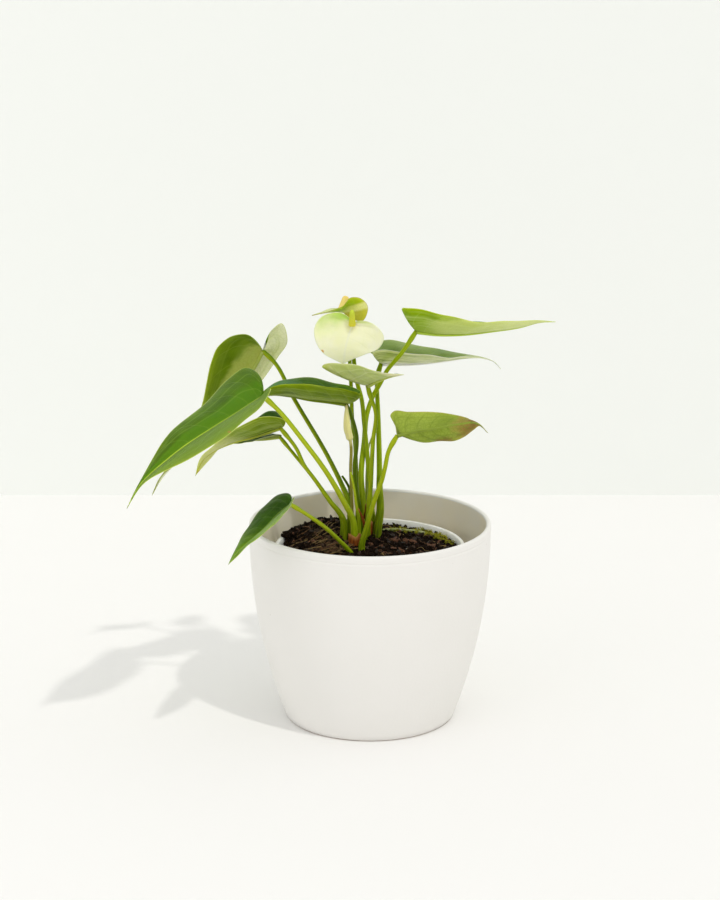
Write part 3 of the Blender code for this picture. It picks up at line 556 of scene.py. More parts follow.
def addPetiole(shape, route, stem, slot, knee=True):
    form, route = stalkForm, fromBelow(route)
    radii, length = stemRadii(route, stem, form["rings"])
    reach = np.linspace(0, length, form["rings"])
    if knee:   # the swollen joint just under the blade
        swelling = np.exp(-((length - form["kneeBelow"] - reach) / form["kneeLength"])**2)
        radii = radii * (1 + form["kneeSize"] * swelling)
    addTube(shape, smoothCurve(route, form["rings"]), radii, form["sides"], slot, petioleOutline)


def bladeSkin(name, look):
    # Leaf blade: a waxy skin over green tissue. The upper side has an even semi-gloss; the under
    # side is paler, duller and shows its veins. Light that gets through makes it glow.
    material, add, place = newMaterial(name, {
        "IOR": 1.42, "Specular IOR Level": look["shine"], "Subsurface Weight": look["glow"],
        "Subsurface Radius": (0.0024, 0.0026, 0.001)})
    marks = {key: add("Attribute", {}, "Fac", attribute_name=key)
             for key in markNames if key not in ("reach", "turn")}
    along, across = marks["along"], marks["across"]
    # clouds about 14 mm across
    cloud = add("TexNoise", {"Vector": place, "Scale": perMetre(14.286), "Detail": 3})
    cloudy = add("MapRange", {"Value": cloud, 1: 0.35, 2: 0.65})
    colour = add("Mix", {0: cloudy, 6: look["main"], 7: look["deep"]}, 2, data_type="RGBA")
    for patch in look.get("patches", ()):
        colour = paintPatch(add, colour, patch, place, marks)
    # long pale streaks, 2 to 4 mm apart, that fan out from the node and run on to the tip
    lane = add("Math", {0: along, 1: -2.2}, operation="MULTIPLY")
    lane = add("Math", {0: across, 1: look["lanes"], 2: lane}, operation="MULTIPLY_ADD")
    depth = add("Math", {0: along, 1: 2.0}, operation="MULTIPLY")
    side = add("Math", {0: marks["half"], 1: 7.0}, operation="MULTIPLY")
    lanes = add("CombineXYZ", {0: lane, 1: depth, 2: side})
    streak = add("TexNoise", {"Vector": lanes, "Scale": 1.0, "Detail": 2})
    streaky = add("MapRange", {"Value": streak, 1: 0.45, 2: 0.68, 3: 0, 4: look["streaks"]})
    # side veins, a net between them with cells of 2.5 mm, the veins from the node, the midrib
    # and the margin; each is a line with soft edges, and its width is in millimetres
    beside = add("Math", {0: marks["veinRow"], 1: 0.5}, operation="PINGPONG")
    sideAway = add("Math", {0: beside, 1: marks["veinGap"]}, operation="MULTIPLY")
    cells = add("TexVoronoi", {"Vector": place, "Scale": perMetre(2.5)},
                feature="DISTANCE_TO_EDGE")
    basalAway = add("Math", {0: marks["basalAway"]}, operation="ABSOLUTE")
    sideVein, net, basal, midrib, margin = [
        add("MapRange", {"Value": away, 1: full, 2: gone, 3: amount, 4: 0},
            interpolation_type="SMOOTHSTEP")
        for away, full, gone, amount in ((sideAway, 0.1, 0.75, 1), (cells, 0.0, 0.11, look["net"]),
                                         (basalAway, 0.15, 0.8, look["basalShow"]),
                                         (marks["midribAway"], 0.35, 0.95, 1),
                                         (marks["edgeAway"], 0.1, 0.55, 0.85))]
    fade = add("MapRange", {"Value": across, 1: 0.75, 2: 1.0, 3: 1, 4: 0})
    sideVein, basal = [add("Math", {0: vein, 1: fade}, operation="MULTIPLY")
                       for vein in (sideVein, basal)]
    sideShown = add("Math", {0: sideVein, 1: look["veinShow"]}, operation="MULTIPLY")
    for mask, over in ((streaky, look["vein"]), (sideShown, look["vein"]),
                       (net, look.get("netColour", look["deep"])), (basal, look["vein"]),
                       (midrib, look["midrib"]), (margin, look["edge"])):
        colour = add("Mix", {0: mask, 6: colour, 7: over}, 2, data_type="RGBA")
    # skin cells of 0.4 mm, drawn coarser than they are so that they show
    height = add("TexNoise", {"Vector": place, "Scale": perMetre(0.3846), "Detail": 2})
    for vein, share in ((sideVein, 1), (basal, 1.5)):
        height = add("Math", {0: vein, 1: look["veinHeight"] * share, 2: height},
                     operation="MULTIPLY_ADD")
    gloss = add("MapRange", {"Value": cloud, 3: look["rough"] - 0.05, 4: look["rough"] + 0.07})
    return finishSkin(material, colour, (height, look["relief"], 0.4), {"Roughness": gloss})


def paintPatch(add, colour, patch, place, marks):
    # Paints one area of a blade over the colour so far; its edge is soft and a little ragged
    ragged = add("TexNoise", {"Vector": place, "Scale": perMetre(patch.get("grain", 6.667)),
                              "Detail": 3})
    loose = patch.get("loose", 0.12)
    shift = add("MapRange", {"Value": ragged, 3: -loose, 4: loose})
    ramps = []   # a value, where its ramp starts and ends, and whether it rises there
    if "point" in patch:   # within a radius in millimetres
        middle = [value * mm for value in patch["point"]]
        away = add("VectorMath", {0: place, 1: middle}, "Value", operation="DISTANCE")
        away = add("Math", {0: away, 1: 1 / (patch["radius"] * mm), 2: shift},
                   operation="MULTIPLY_ADD")
        ramps.append((away, 1 - patch.get("soft", 0.3), 1.0, 0))
    soft = patch.get("soft", 0.08)
    if "line" in patch:   # where across is less than start + slope * along
        start, slope = patch["line"]
        lean = add("Math", {0: marks["along"], 1: -slope, 2: marks["across"]},
                   operation="MULTIPLY_ADD")
        lean = add("Math", {0: lean, 1: shift}, operation="ADD")
        ramps.append((lean, start - soft, start + soft, 0))
    for key in ("along", "across"):
        if key in patch:
            moved = add("Math", {0: marks[key], 1: shift}, operation="ADD")
            ramps += [(moved, end - soft, end + soft, 1 - k) for k, end in enumerate(patch[key])]
    if "band" in patch:   # between two parallel planes, in millimetres along a direction
        reach = add("VectorMath", {0: place, 1: patch["direction"]}, "Value",
                    operation="DOT_PRODUCT")
        moved = add("Math", {0: shift, 1: 4 * mm, 2: reach}, operation="MULTIPLY_ADD")
        ramps += [(moved, (end - soft) * mm, (end + soft) * mm, 1 - k)
                  for k, end in enumerate(patch["band"])]
    mask = patch.get("amount", 1.0)
    for value, low, high, rises in ramps:
        ramp = add("MapRange", {"Value": value, 1: low, 2: high, 3: 1 - rises, 4: rises},
                   interpolation_type="SMOOTHSTEP")
        mask = add("Math", {0: ramp, 1: mask}, operation="MULTIPLY")
    if "half" in patch:
        sign = -0.3 if patch["half"] == "left" else 0.3
        ramp = add("MapRange", {"Value": marks["half"], 1: -sign, 2: sign})
        mask = add("Math", {0: ramp, 1: mask}, operation="MULTIPLY")
    return add("Mix", {0: mask, 6: colour, 7: patch["colour"]}, 2, data_type="RGBA")


def stemSkin(name, look):
    # Fleshy leaf stalk: a smooth waxy skin with fine lengthwise fibres, five or so round it;
    # olive to brown at the foot, with 1.4 mm flecks
    material, add, place = newMaterial(name, {
        "Roughness": 0.4, "IOR": 1.42, "Specular IOR Level": 0.14, "Subsurface Weight": 0.1,
        "Subsurface Radius": (0.0012, 0.0016, 0.0004)})
    reach, turn = [add("Attribute", {}, "Fac", attribute_name=key) for key in ("reach", "turn")]
    x, y = [add("Math", {0: turn}, operation=kind) for kind in ("COSINE", "SINE")]
    z = add("Math", {0: reach, 1: 0.025}, operation="MULTIPLY")
    unrolled = add("CombineXYZ", {0: x, 1: y, 2: z})
    fibres = add("TexNoise", {"Vector": unrolled, "Scale": 5, "Detail": 3})
    low = add("MapRange", {"Value": reach, 1: 48, 2: 12})
    low = add("Math", {0: low, 1: fibres}, operation="MULTIPLY")
    low = add("MapRange", {"Value": low, 1: 0.1, 2: 0.6})
    # painted shade: the side that faces the crown is painted a deeper green, for the shade that the
    # other stalks throw on it, and the side that faces the light is left paler
    shade = add("MapRange", {"Value": fibres, 1: 0.35, 2: 0.7, 3: 0, 4: 0.45})
    inner = add("MapRange", {"Value": x, 1: -0.55, 2: 0.55, 3: 0, 4: 0.85})
    shade = add("Math", {0: shade, 1: inner}, operation="ADD", use_clamp=True)
    flecks = add("TexNoise", {"Vector": place, "Scale": perMetre(1.4286), "Detail": 3})
    fleck = add("MapRange", {"Value": flecks, 1: 0.66, 2: 0.75, 3: 0, 4: 0.5})
    colour = look["stalk"]
    for mask, over in ((shade, look["stalkDeep"]), (low, look["foot"]), (fleck, "#8A7A2E")):
        colour = add("Mix", {0: mask, 6: colour, 7: over}, 2, data_type="RGBA")
    return finishSkin(material, colour, (fibres, 0.25, 0.2))


def makeLeaf(name, leaf):
    shape = newShape()
    addPetiole(shape, leaf["petiole"] + [leaf["midrib"][0]], leaf["stem"], 2)
    spine = addBlade(shape, leaf, bladeForm)
    # the midrib stands out below, thinner towards the tip
    count = int(0.93 * len(spine))
    tangents = unit(np.gradient(spine, axis=0))
    face = np.array(leaf["face"], float)
    down = unit(face - (tangents @ face)[:, None] * tangents)[:count]
    radii = leaf["stem"][1] * 0.85 * np.linspace(1, 0.12, count)**1.3
    addTube(shape, spine[:count] - down * (0.18 + 0.55 * radii[:, None]), radii, 12, 1)
    away = shape["marks"]["edgeAway"]
    away[-1] = np.full(len(away[-1]), 9.0)   # so that the midrib isn't painted as a margin
    finishPiece(name, shape, [bladeSkin(name + "UpperSkin", {**upperSide, **leaf["upper"]}),
                              bladeSkin(name + "UnderSkin", {**underSide, **leaf["under"]}),
                              stemSkin(name + "StalkSkin", leaf["stalk"])],
                [leaf["node"]])


paleStalk = dict(stalk="#BAC62C", stalkDeep="#8AA206", foot="#84A004")
brightStalk = dict(stalk="#BECA30", stalkDeep="#98B00A", foot="#7C9404")
greenStalk = dict(stalk="#A8B61A", stalkDeep="#7A9200", foot="#5E7404")
mossyStalk = dict(stalk="#A8B60E", stalkDeep="#628000", foot="#587200")
darkStalk = dict(stalk="#6E8604", stalkDeep="#526A00", foot="#4E6400")

leafFrontLeft = dict(
    node="leaf_front_left", slot="leaf_dark", stem=(2.6, 1.4), face=(0, -0.1, 1), bow=(0.1, 0.1),
    veins=9, waves=(4, 0.5), stalk=paleStalk,
    petiole=[(-9.5, 2, 112), (-10.5, 0, 126), (-16, -5, 139), (-24.5, -10, 156), (-41, -19, 182.5),
        (-55.5, -24, 202.5)],
    midrib=[(-64.5, -26, 212), (-78.5, -41, 206), (-93.5, -53, 199), (-110.5, -66, 190.5),
        (-125, -75, 180.5), (-134.5, -81, 172.5), (-143, -85, 158.5)],
    left=[(-61.5, -30, 217), (-59.5, -36, 218.5), (-63.5, -44, 212.5), (-78, -66, 203.5),
        (-96, -80, 193), (-119.5, -84, 181.5), (-133.5, -83, 172.5)],
    right=[(-64.5, -22, 216), (-68, -12, 222.5), (-76, -4, 224), (-86, -10, 218.5),
        (-102, -33, 206), (-118, -52, 197.5), (-129, -68, 183.5), (-136, -79, 172.5)],
    upper=dict(main="#4A6C08", deep="#395806", vein="#86A646", midrib="#A2BC3C", edge="#A8C050",
        streaks=0.04, veinShow=0.12, basalShow=0.2, net=0.12,
        # painted sheen: the left half is painted a paler grey-green, for the sheen that its waxy
        # skin picks up
        patches=[dict(half="left", colour="#647E2E", soft=0.05),
                 dict(half="right", line=(0.42, 0.0), colour="#4A7A04", amount=0.7),
                 dict(point=(-88.5, -68, 198), radius=2.2, colour="#7E5E34", soft=0.5, loose=0.7,
                     grain=1.4286),
                 dict(point=(-83, -69, 200.5), radius=1.4, colour="#8A6A3C", soft=0.5, loose=0.5,
                     grain=1.4286)]),
    under=dict(main="#8FA05A", deep="#7E9248", vein="#B9C48A", midrib="#B9C86A", edge="#B4C46A"))

leafBackLeft = dict(
    node="leaf_back_left", slot="leaf_olive", stem=(2.5, 1.3), face=(-0.2, 0.7, 0.6),
    bow=(0.12, 0.08), veins=9, waves=(4, 0.5), stalk=mossyStalk,
    petiole=[(-12.5, 13, 112), (-13.5, 16, 134.5), (-17.5, 19, 143.5), (-24.5, 24, 157),
        (-48, 35, 196), (-60, 40, 217.5)],
    midrib=[(-67, 42, 224), (-73, 48, 211.5), (-85.5, 58, 190), (-103.5, 68, 165.5),
        (-122.5, 75, 143.5), (-135.5, 78, 131.5), (-141.5, 81, 118)],
    left=[(-70, 38, 229.5), (-77, 31, 237), (-85.5, 29, 236.5), (-94, 32, 229.5), (-99, 38, 217.5),
        (-102.5, 46, 204), (-106.5, 56, 185), (-118.5, 70, 154), (-133.5, 77.5, 134.5)],
    right=[(-65, 42, 227.5), (-61.5, 39, 237.5), (-55.5, 38, 242.5), (-51.5, 42, 230.5),
        (-58.5, 49, 217), (-68, 56, 202), (-82.5, 64, 180), (-106, 73, 152.5), (-120.5, 76, 144.5),
        (-132.5, 78.5, 133)],
    upper=dict(main="#668C20", deep="#567C1A", vein="#8EA850", midrib="#A9BC55", edge="#A9BC55"),
    under=dict(main="#5A7404", deep="#4A6204", vein="#98AA50", midrib="#A9B65C", edge="#A4B24A",
        streaks=0.18, veinShow=0.16, basalShow=0.12, net=0.14, netColour="#54690A",
        # painted light: the right half is painted pale grey-green where the light falls straight on
        # its under side, and the wedge by the midrib on the left half is painted paler for the
        # sheen there
        patches=[dict(half="right", colour="#D0D3BC", soft=0.05),
                 dict(half="left", line=(0.04, 1.15), colour="#A4A862", amount=0.8, soft=0.12),
                 dict(half="left", along=(0.62, 1.3), colour="#AAAA63", amount=0.7, soft=0.15)]))

leafMidLeft = dict(
    node="leaf_mid_left", slot="leaf_olive", stem=(1.8, 1.2), face=(0, 0, 1), bow=(-0.06, 0.08),
    veins=8, waves=(4, 0.4), stalk=greenStalk,
    petiole=[(-15.5, 5, 112), (-16, 4.5, 125), (-25, 5, 137.5), (-34.5, 6, 151), (-40.5, 7.5, 159),
        (-45.5, 9, 169.5)],
    midrib=[(-55.5, 9, 183), (-70, 12, 177), (-84, 16, 172), (-97, 20, 165), (-104.5, 23, 158),
        (-109.5, 25, 147.5)],
    left=[(-53, 4, 185.5), (-52, -1, 189.5), (-55.5, -6, 193.5), (-66, -8, 194), (-74.5, -6, 190.5),
        (-85.5, -1, 183.5), (-99, 12, 169), (-106.5, 21, 159)],
    right=[(-53.5, 15, 185), (-56, 23, 188.5), (-63.5, 28, 188.5), (-72.5, 30, 182.5),
        (-86.5, 29, 170.5), (-95, 28, 163.5), (-101, 27, 157)],
    upper=dict(main="#264D0A", deep="#1B3E07", vein="#5F8A3A", midrib="#8FA850", edge="#8FA850"),
    under=dict(main="#778B19", deep="#677E0D", vein="#B2BC74", midrib="#B4BE4A", edge="#B8C46A",
        streaks=0.5, veinShow=0.15, basalShow=0.25, net=0.1,
        patches=[dict(along=(0.6, 1.3), colour="#C2C486", soft=0.15),
                 dict(point=(-109.5, 25, 147.5), radius=5, colour="#A8501C", soft=0.3)]))

leafLowLeft = dict(
    node="leaf_low_left", slot="leaf_dark", stem=(1.5, 1.1), face=(0, 0, 1), bow=(0.06, 0.04),
    veins=7, waves=(3, 0.3), stalk=greenStalk,
    petiole=[(-17.5, 10.5, 112), (-17.5, 11.5, 123), (-25.5, 12.5, 135), (-34.5, 13, 148.5),
        (-40.5, 13, 156.5), (-47.5, 12.5, 165.5)],
    midrib=[(-56, 12, 176.5), (-66, 15, 174), (-74, 18, 172.5), (-80, 20, 171), (-85, 21, 169.5)],
    left=[(-54.5, 9.5, 178), (-57, 7.5, 179), (-66, 8, 176.5), (-75, 12, 173), (-81, 17.5, 170.5)],
    right=[(-55.5, 16, 176.5), (-59, 20, 176), (-66, 24, 174.5), (-74, 25, 173), (-80, 24, 171.5)],
    upper=dict(main="#46661C", deep="#385814", vein="#7F9850", midrib="#98AA50", edge="#98AA50"),
    under=dict(main="#617310", deep="#50610A", vein="#A8B270", midrib="#A9B45A", edge="#C0C690",
        streaks=0.4, veinShow=0.05))

leafCentreLeft = dict(
    node="leaf_centre_left", slot="leaf_dark", stem=(2.0, 1.3), face=(0, 0, 1), bow=(-0.06, 0.08),
    veins=8, waves=(4, 0.4), stalk=darkStalk,
    petiole=[(-6, 14, 112), (-7, 14, 131.5), (-8.5, 14.5, 141.5), (-9.5, 15, 154), (-8.5, 16, 177),
        (-10, 16, 183.5)],
    midrib=[(-15, 16, 196.5), (-24.5, 15, 198), (-37, 14, 199.5), (-50, 9, 203), (-62.5, 4, 204.5),
        (-70.5, 0, 202)],
    left=[(-10, 13, 198.5), (-6, 7, 203.5), (-7.5, 2, 207), (-13, -1, 209), (-24, -4, 212),
        (-38.5, -8, 214.5), (-53, -11, 215.5), (-63, -9, 211.5)],
    right=[(-10, 20, 199), (-6, 22, 202.5), (-12, 24, 205.5), (-20, 27, 206.5), (-32.5, 30, 209),
        (-43.5, 29, 210), (-54, 24, 209.5), (-64, 12, 207)],
    upper=dict(main="#365B14", deep="#2A4D10", vein="#5C8034", midrib="#6E8A34", edge="#5C7A30",
        streaks=0.05, veinShow=0.14,
        patches=[dict(half="right", along=(0.62, 1.3), colour="#47734A", soft=0.12)]),
    under=dict(main="#748A0E", deep="#5A7008", vein="#A3B066", midrib="#7C8E2C", edge="#66791E",
        streaks=0.35, veinShow=0.14, basalShow=0.3, net=0.12,
        patches=[dict(half="left", line=(0.3, 0.0), colour="#A2AF4A", amount=0.6, soft=0.14),
                 dict(half="left", line=(0.14, 0.0), colour="#667C0C", amount=0.8, soft=0.06)]))

leafCentreFront = dict(
    node="leaf_centre_front", slot="leaf_pale", stem=(2.1, 1.3), face=(-0.3, 0.3, 0.9),
    bow=(0.04, -0.05), veins=8, waves=(3, 0.3), stalk=greenStalk,
    petiole=[(-1.5, 12, 112), (-1, 11.5, 127.5), (0.5, 11, 145.5), (1, 11, 156), (2, 11.5, 174.5),
        (3.5, 12.5, 192.5), (0.5, 12.5, 201.5)],
    midrib=[(-1.5, 12, 209), (5, 4, 214), (12, -5, 218.5), (20.5, -13, 222)],
    left=[(0.5, 18, 210.5), (4.5, 21, 213), (10.5, 12, 216.5), (16.5, -1, 219.5)],
    right=[(-7, 14, 211), (-15.5, 15, 214.5), (-25, 13, 218.5), (-29.5, 9, 221), (-28.5, 5, 224),
        (-25, 1, 226), (-16, -6, 227), (-7.5, -10, 227), (2.5, -13, 224.5), (11, -14, 223)],
    upper=dict(main="#557428", deep="#46661C", vein="#8AA25C", midrib="#9FB060", edge="#A9B878"),
    under=dict(main="#B8C286", deep="#A4B072", vein="#DADEB8", midrib="#B4C060", edge="#C9CF9C",
        streaks=0.2, veinShow=0.2, basalShow=0.3, net=0.16,
        patches=[dict(half="right", along=(-0.3, 0.42), colour="#C6CA94", soft=0.03),
                 dict(point=(-29, 9, 221), radius=8, colour="#8C9E40", soft=0.8, amount=0.7),
                 dict(along=(0.85, 1.3), colour="#D8D2B4", soft=0.08)]))

leafTopRight = dict(
    node="leaf_top_right", slot="leaf_bright", stem=(2.4, 1.3), face=(0, 0.3, 1), bow=(0.08, -0.06),
    veins=9, waves=(4, 0.5), stalk=brightStalk,
    petiole=[(-2, 20.5, 112), (-4.5, 22, 132.5), (-5.5, 25, 148.5), (-3.5, 31, 168.5),
        (-2, 32.5, 185), (2, 32, 197.5), (6.5, 28.5, 206.5), (10, 25, 214.5), (20, 19.5, 228.5)],
    midrib=[(28.5, 20, 241.5), (41, 17, 240.5), (56, 14, 241), (74.5, 11, 243.5), (92, 8.5, 246.5),
        (103, 6, 250), (113, 4, 251)],
    left=[(24.5, 28, 245.5), (22.5, 35, 249.5), (28, 40, 250), (38.5, 41, 248), (51, 38, 245),
        (67, 32, 244.5), (84.5, 22, 246), (101, 10, 250)],
    right=[(23.5, 16, 249.5), (19.5, 10, 258), (23, 5, 259), (32.5, 0, 259.5), (46, -4, 256.5),
        (63.5, -4, 253), (83, 0, 252), (100.5, 4, 252)],
    upper=dict(main="#5E8418", deep="#4E7414", vein="#94B050", midrib="#A8BE50", edge="#B2C46A"),
    # painted light: the under side's midrib is painted paler, to lift the shade that falls along it
    under=dict(main="#76930A", deep="#668206", vein="#C6D08E", midrib="#B4CC50", edge="#A8BC48",
        streaks=0.3, veinShow=0.12, basalShow=0.2, net=0.1,
        # painted light: below the crease the right half is painted paler, for the light that the
        # floor throws up under it
        patches=[dict(half="right", line=(0.0, 1.9), colour="#B4C074", soft=0.12, amount=0.85,
                     loose=0.12),
                 dict(point=(26, 14, 245), radius=21, colour="#7E9B0C", soft=0.85, amount=0.8),
                 dict(along=(0.72, 1.3), colour="#C6CE98", soft=0.2)]))

leafBackRight = dict(
    node="leaf_back_right", slot="leaf_dark", stem=(3.2, 1.3), face=(0, 0, 1), bow=(0.08, -0.05),
    # painted shade: this stalk's foot is painted a very dark green, for the deep shade at the right
    # of the crown
    veins=9, waves=(4, 0.4), stalk=dict(stalk="#B0BE26", stalkDeep="#7C9600", foot="#3C4C04"),
    petiole=[(4.5, 17, 112), (6.5, 19, 127), (6, 21, 142.5), (6, 24, 149), (5.5, 32, 173.5),
        (5, 36, 188.5), (4.5, 39, 199), (4.5, 40, 206.5)],
    midrib=[(7, 40, 216.5), (29.5, 46, 215), (48.5, 50, 216), (63, 53, 217), (70.5, 54.5, 216.5),
        (78.5, 56, 213.5), (83, 57, 208.5)],
    left=[(4.5, 46, 219), (0, 53, 221), (2.5, 60, 224), (9, 64, 225.5), (23.5, 67, 223.5),
        (35.5, 67, 220.5), (49, 65, 219), (63.5, 60, 217), (72, 57, 216), (79, 57, 213)],
    right=[(4.5, 35, 221.5), (1.5, 30, 225.5), (5.5, 26, 228), (17.5, 22, 228), (31, 24, 226),
        (47.5, 33, 222), (61, 46.5, 219), (70, 53, 217), (78, 55.5, 214)],
    upper=dict(main="#778A48", deep="#647A3A", vein="#8CA878", midrib="#A2B478", edge="#A2B478",
        streaks=0.12, veinShow=0.05, net=0.05,
        patches=[dict(along=(0.86, 1.3), colour="#DADBC4", soft=0.08)]),
    # painted highlight: the under side's midrib is painted near white, to lift the shade along the
    # leaf's lower edge
    under=dict(main="#E2E5C2", deep="#BEC88C", vein="#5C7628", midrib="#F0F2E0", edge="#DADBC4",
        streaks=0.8, lanes=16.0, veinShow=0.1, basalShow=0.2, net=0.1,
        # painted highlight: the band beside the midrib is painted whiter, for the light that falls
        # on the fold there
        patches=[dict(across=(-0.3, 0.25), along=(0.2, 1.3), colour="#EEF0E0", soft=0.12),
                 dict(along=(0.86, 1.3), colour="#DADBC4", soft=0.08)]))

leafLowRight = dict(
    node="leaf_low_right", slot="leaf_olive", stem=(2.1, 1.3), face=(0, 0.94, 0.34),
    bow=(-0.08, 0.06), veins=8, waves=(3, 0.4), stalk=greenStalk,
    petiole=[(-5, -5, 112), (-2.5, -5.5, 121.5), (2, -7, 139), (7.5, -9, 155.5), (9, -10, 162),
        (11.5, -11.5, 174)],
    midrib=[(16.5, -12, 183.5), (28, -12, 186.5), (39.5, -12, 188), (52.5, -12, 190.5),
        (65, -12, 191), (72, -12, 185)],
    left=[(20.5, -11, 183.5), (25, -9, 180.5), (34, -6, 177.5), (43.5, -5, 178), (52.5, -6, 179),
        (58, -7, 181.5), (63.5, -9, 186.5), (66.5, -11.5, 189.5)],
    right=[(15, -11, 190.5), (12.5, -9, 196), (14, -8, 197.5), (23, -6, 197), (36.5, -5, 196.5),
        (46, -5, 196), (56, -6, 194), (63.5, -9, 192), (67, -11.5, 190.5)],
    upper=dict(main="#5F7C22", deep="#506C18", vein="#8AA04A", midrib="#9CAE50", edge="#A08A50"),
    under=dict(main="#94A448", deep="#80903A", vein="#64762A", midrib="#84943C", edge="#98903E",
        streaks=0.06, veinShow=0.4, basalShow=0.2, net=0.4, netColour="#6C7E2C",
        patches=[dict(point=(63, -9, 186), radius=16, colour="#968848", soft=0.5, loose=0.35),
                 dict(point=(63, -8, 185), radius=11, colour="#8A6A3E", soft=0.5, loose=0.5,
                     grain=3.333),
                 dict(point=(46, -5, 177.5), radius=8, colour="#8A7440", soft=0.5, loose=0.5,
                     grain=3.333),
                 dict(along=(0.9, 1.3), colour="#A58658", soft=0.03)]))

leafOverRim = dict(
    node="leaf_over_rim", slot="leaf_dark", stem=(1.7, 1.2), face=(0, -0.1, 1), bow=(0.06, 0.1),
    veins=8, waves=(4, 0.4), stalk=paleStalk,
    petiole=[(-11, -7, 104.5), (-14.5, -11, 111.5), (-18.5, -15, 117), (-24.5, -21, 125),
        (-34.5, -32, 136.5), (-40.5, -38, 142.5)],
    midrib=[(-48, -45, 149.5), (-54.5, -54, 146.5), (-64, -66, 139.5), (-72.5, -77, 135),
        (-79, -81, 130), (-84, -83, 123.5)],
    left=[(-46.5, -47, 153.5), (-45.5, -51, 155.5), (-48.5, -56, 150.5), (-53, -64, 147),
        (-62.5, -76, 141), (-72, -83, 135.5), (-78.5, -84, 129)],
    right=[(-47.5, -39, 152.5), (-50, -33, 153), (-55.5, -30, 151), (-62, -36, 148),
        (-70, -50, 142), (-76, -64, 136), (-80, -76, 131)],
    upper=dict(main="#2A4904", deep="#203C04", vein="#5E8440", midrib="#6E8C34", edge="#8AA044",
        streaks=0.03, veinShow=0.16, basalShow=0.1, net=0.1,
        # painted sheen: the outer part of the left half is painted paler, for the sheen that its
        # waxy skin picks up
        patches=[dict(half="left", across=(0.3, 1.3), colour="#7A9455", soft=0.12),
                 dict(along=(0.75, 1.3), colour="#5A7C1C", soft=0.15)]),
    under=dict(main="#7C9048", deep="#6C823A", vein="#A6B478", midrib="#A9B860", edge="#A9B860"))

leaves = dict(leafFrontLeft=leafFrontLeft, leafBackLeft=leafBackLeft, leafMidLeft=leafMidLeft,
              leafLowLeft=leafLowLeft, leafCentreLeft=leafCentreLeft,
              leafCentreFront=leafCentreFront, leafTopRight=leafTopRight,
              leafBackRight=leafBackRight, leafLowRight=leafLowRight, leafOverRim=leafOverRim)
for name, leaf in leaves.items():
    makeLeaf(name, leaf)
print("leaves are made")


# Blooms

spatheForm = dict(bladeForm, rows=126, columns=24, cadRows=14, thickness=0.6, ripple=0.003,
                  pucker=0.03, basals=((0.40, 0.36), (0.72, 0.22)), basalDip=0.04, midribDip=0.05)
spadixForm = dict(sides=56, rings=72, around=9, rowsUp=13, domeHeight=0.07, roundEnd=0.8)

bloomFront = dict(
    node="front", spatheSlot="spathe_cream", spadixSlot="spadix_green",
    stem=(1.6, 1.3), face=(0, -0.93, 0.3), bow=(-0.05, -0.05), veins=7, waves=(3, 0.25),
    spadix=[(-11, 17.8, 245.8), (-11, 15, 256)], spadixRadius=2.2, spadixTaper=0.42,
    spadixLook=dict(tip="#B2CE34", foot="#DCCB30", bud="#D8DA50"), stalkLook=paleStalk,
    stalk=[(3, 24.5, 112), (0.5, 24.5, 132), (-0.5, 25, 146), (-2.5, 26.5, 170.5), (-3.5, 27, 180),
        (-5.5, 27.5, 198), (-8, 27.5, 207), (-10, 26.5, 222), (-11, 25.5, 240), (-11, 22.4, 245)],
    midrib=[(-11, 21, 245.5), (-13, 18.5, 239.5), (-15, 16.5, 232.5), (-16.5, 15, 222)],
    left=[(-9.5, 20.5, 247), (-4.5, 18, 248.5), (1, 15.5, 247.5), (5.5, 13.5, 244.5),
        (8.5, 12, 239.5), (5.5, 12.5, 232.5), (-3.5, 14, 228), (-12.5, 15, 224)],
    right=[(-13, 20, 250), (-18, 18, 253.5), (-24.5, 15, 254), (-30, 13, 252), (-34, 12, 245.5),
        (-33.5, 12, 237), (-29, 13, 229.5), (-21.5, 14.5, 224.5)],
    upper=dict(main="#FDFCD6", deep="#FAFAC8", vein="#D6DE9C", midrib="#F8F8D2", edge="#E8ECB8",
        streaks=0.0, veinShow=0.03, basalShow=0.04, net=0.03, rough=0.4, shine=0.1, relief=0.08,
        glow=0.35,
        patches=[dict(half="right", along=(-0.3, 0.42), across=(0.34, 1.3), colour="#B8DC66",
                     soft=0.24),
                 dict(half="left", along=(-0.3, 0.22), across=(0.5, 1.3), colour="#C4DF80",
                     soft=0.16, amount=0.8),
                 # painted shade: a soft beige spot at the spadix's foot stands for the shade in the
                 # fold there
                 dict(point=(-11, 19.5, 245), radius=4, colour="#E0D8A8", soft=0.6, amount=0.4),
                 dict(point=(-29.6, 12.9, 230.2), radius=1.7, colour="#DE9C4C", soft=0.6)]),
    under=dict(main="#DCE3A8", deep="#CCD890", vein="#BFCF7A", midrib="#B4C668", edge="#DCE3A8"))

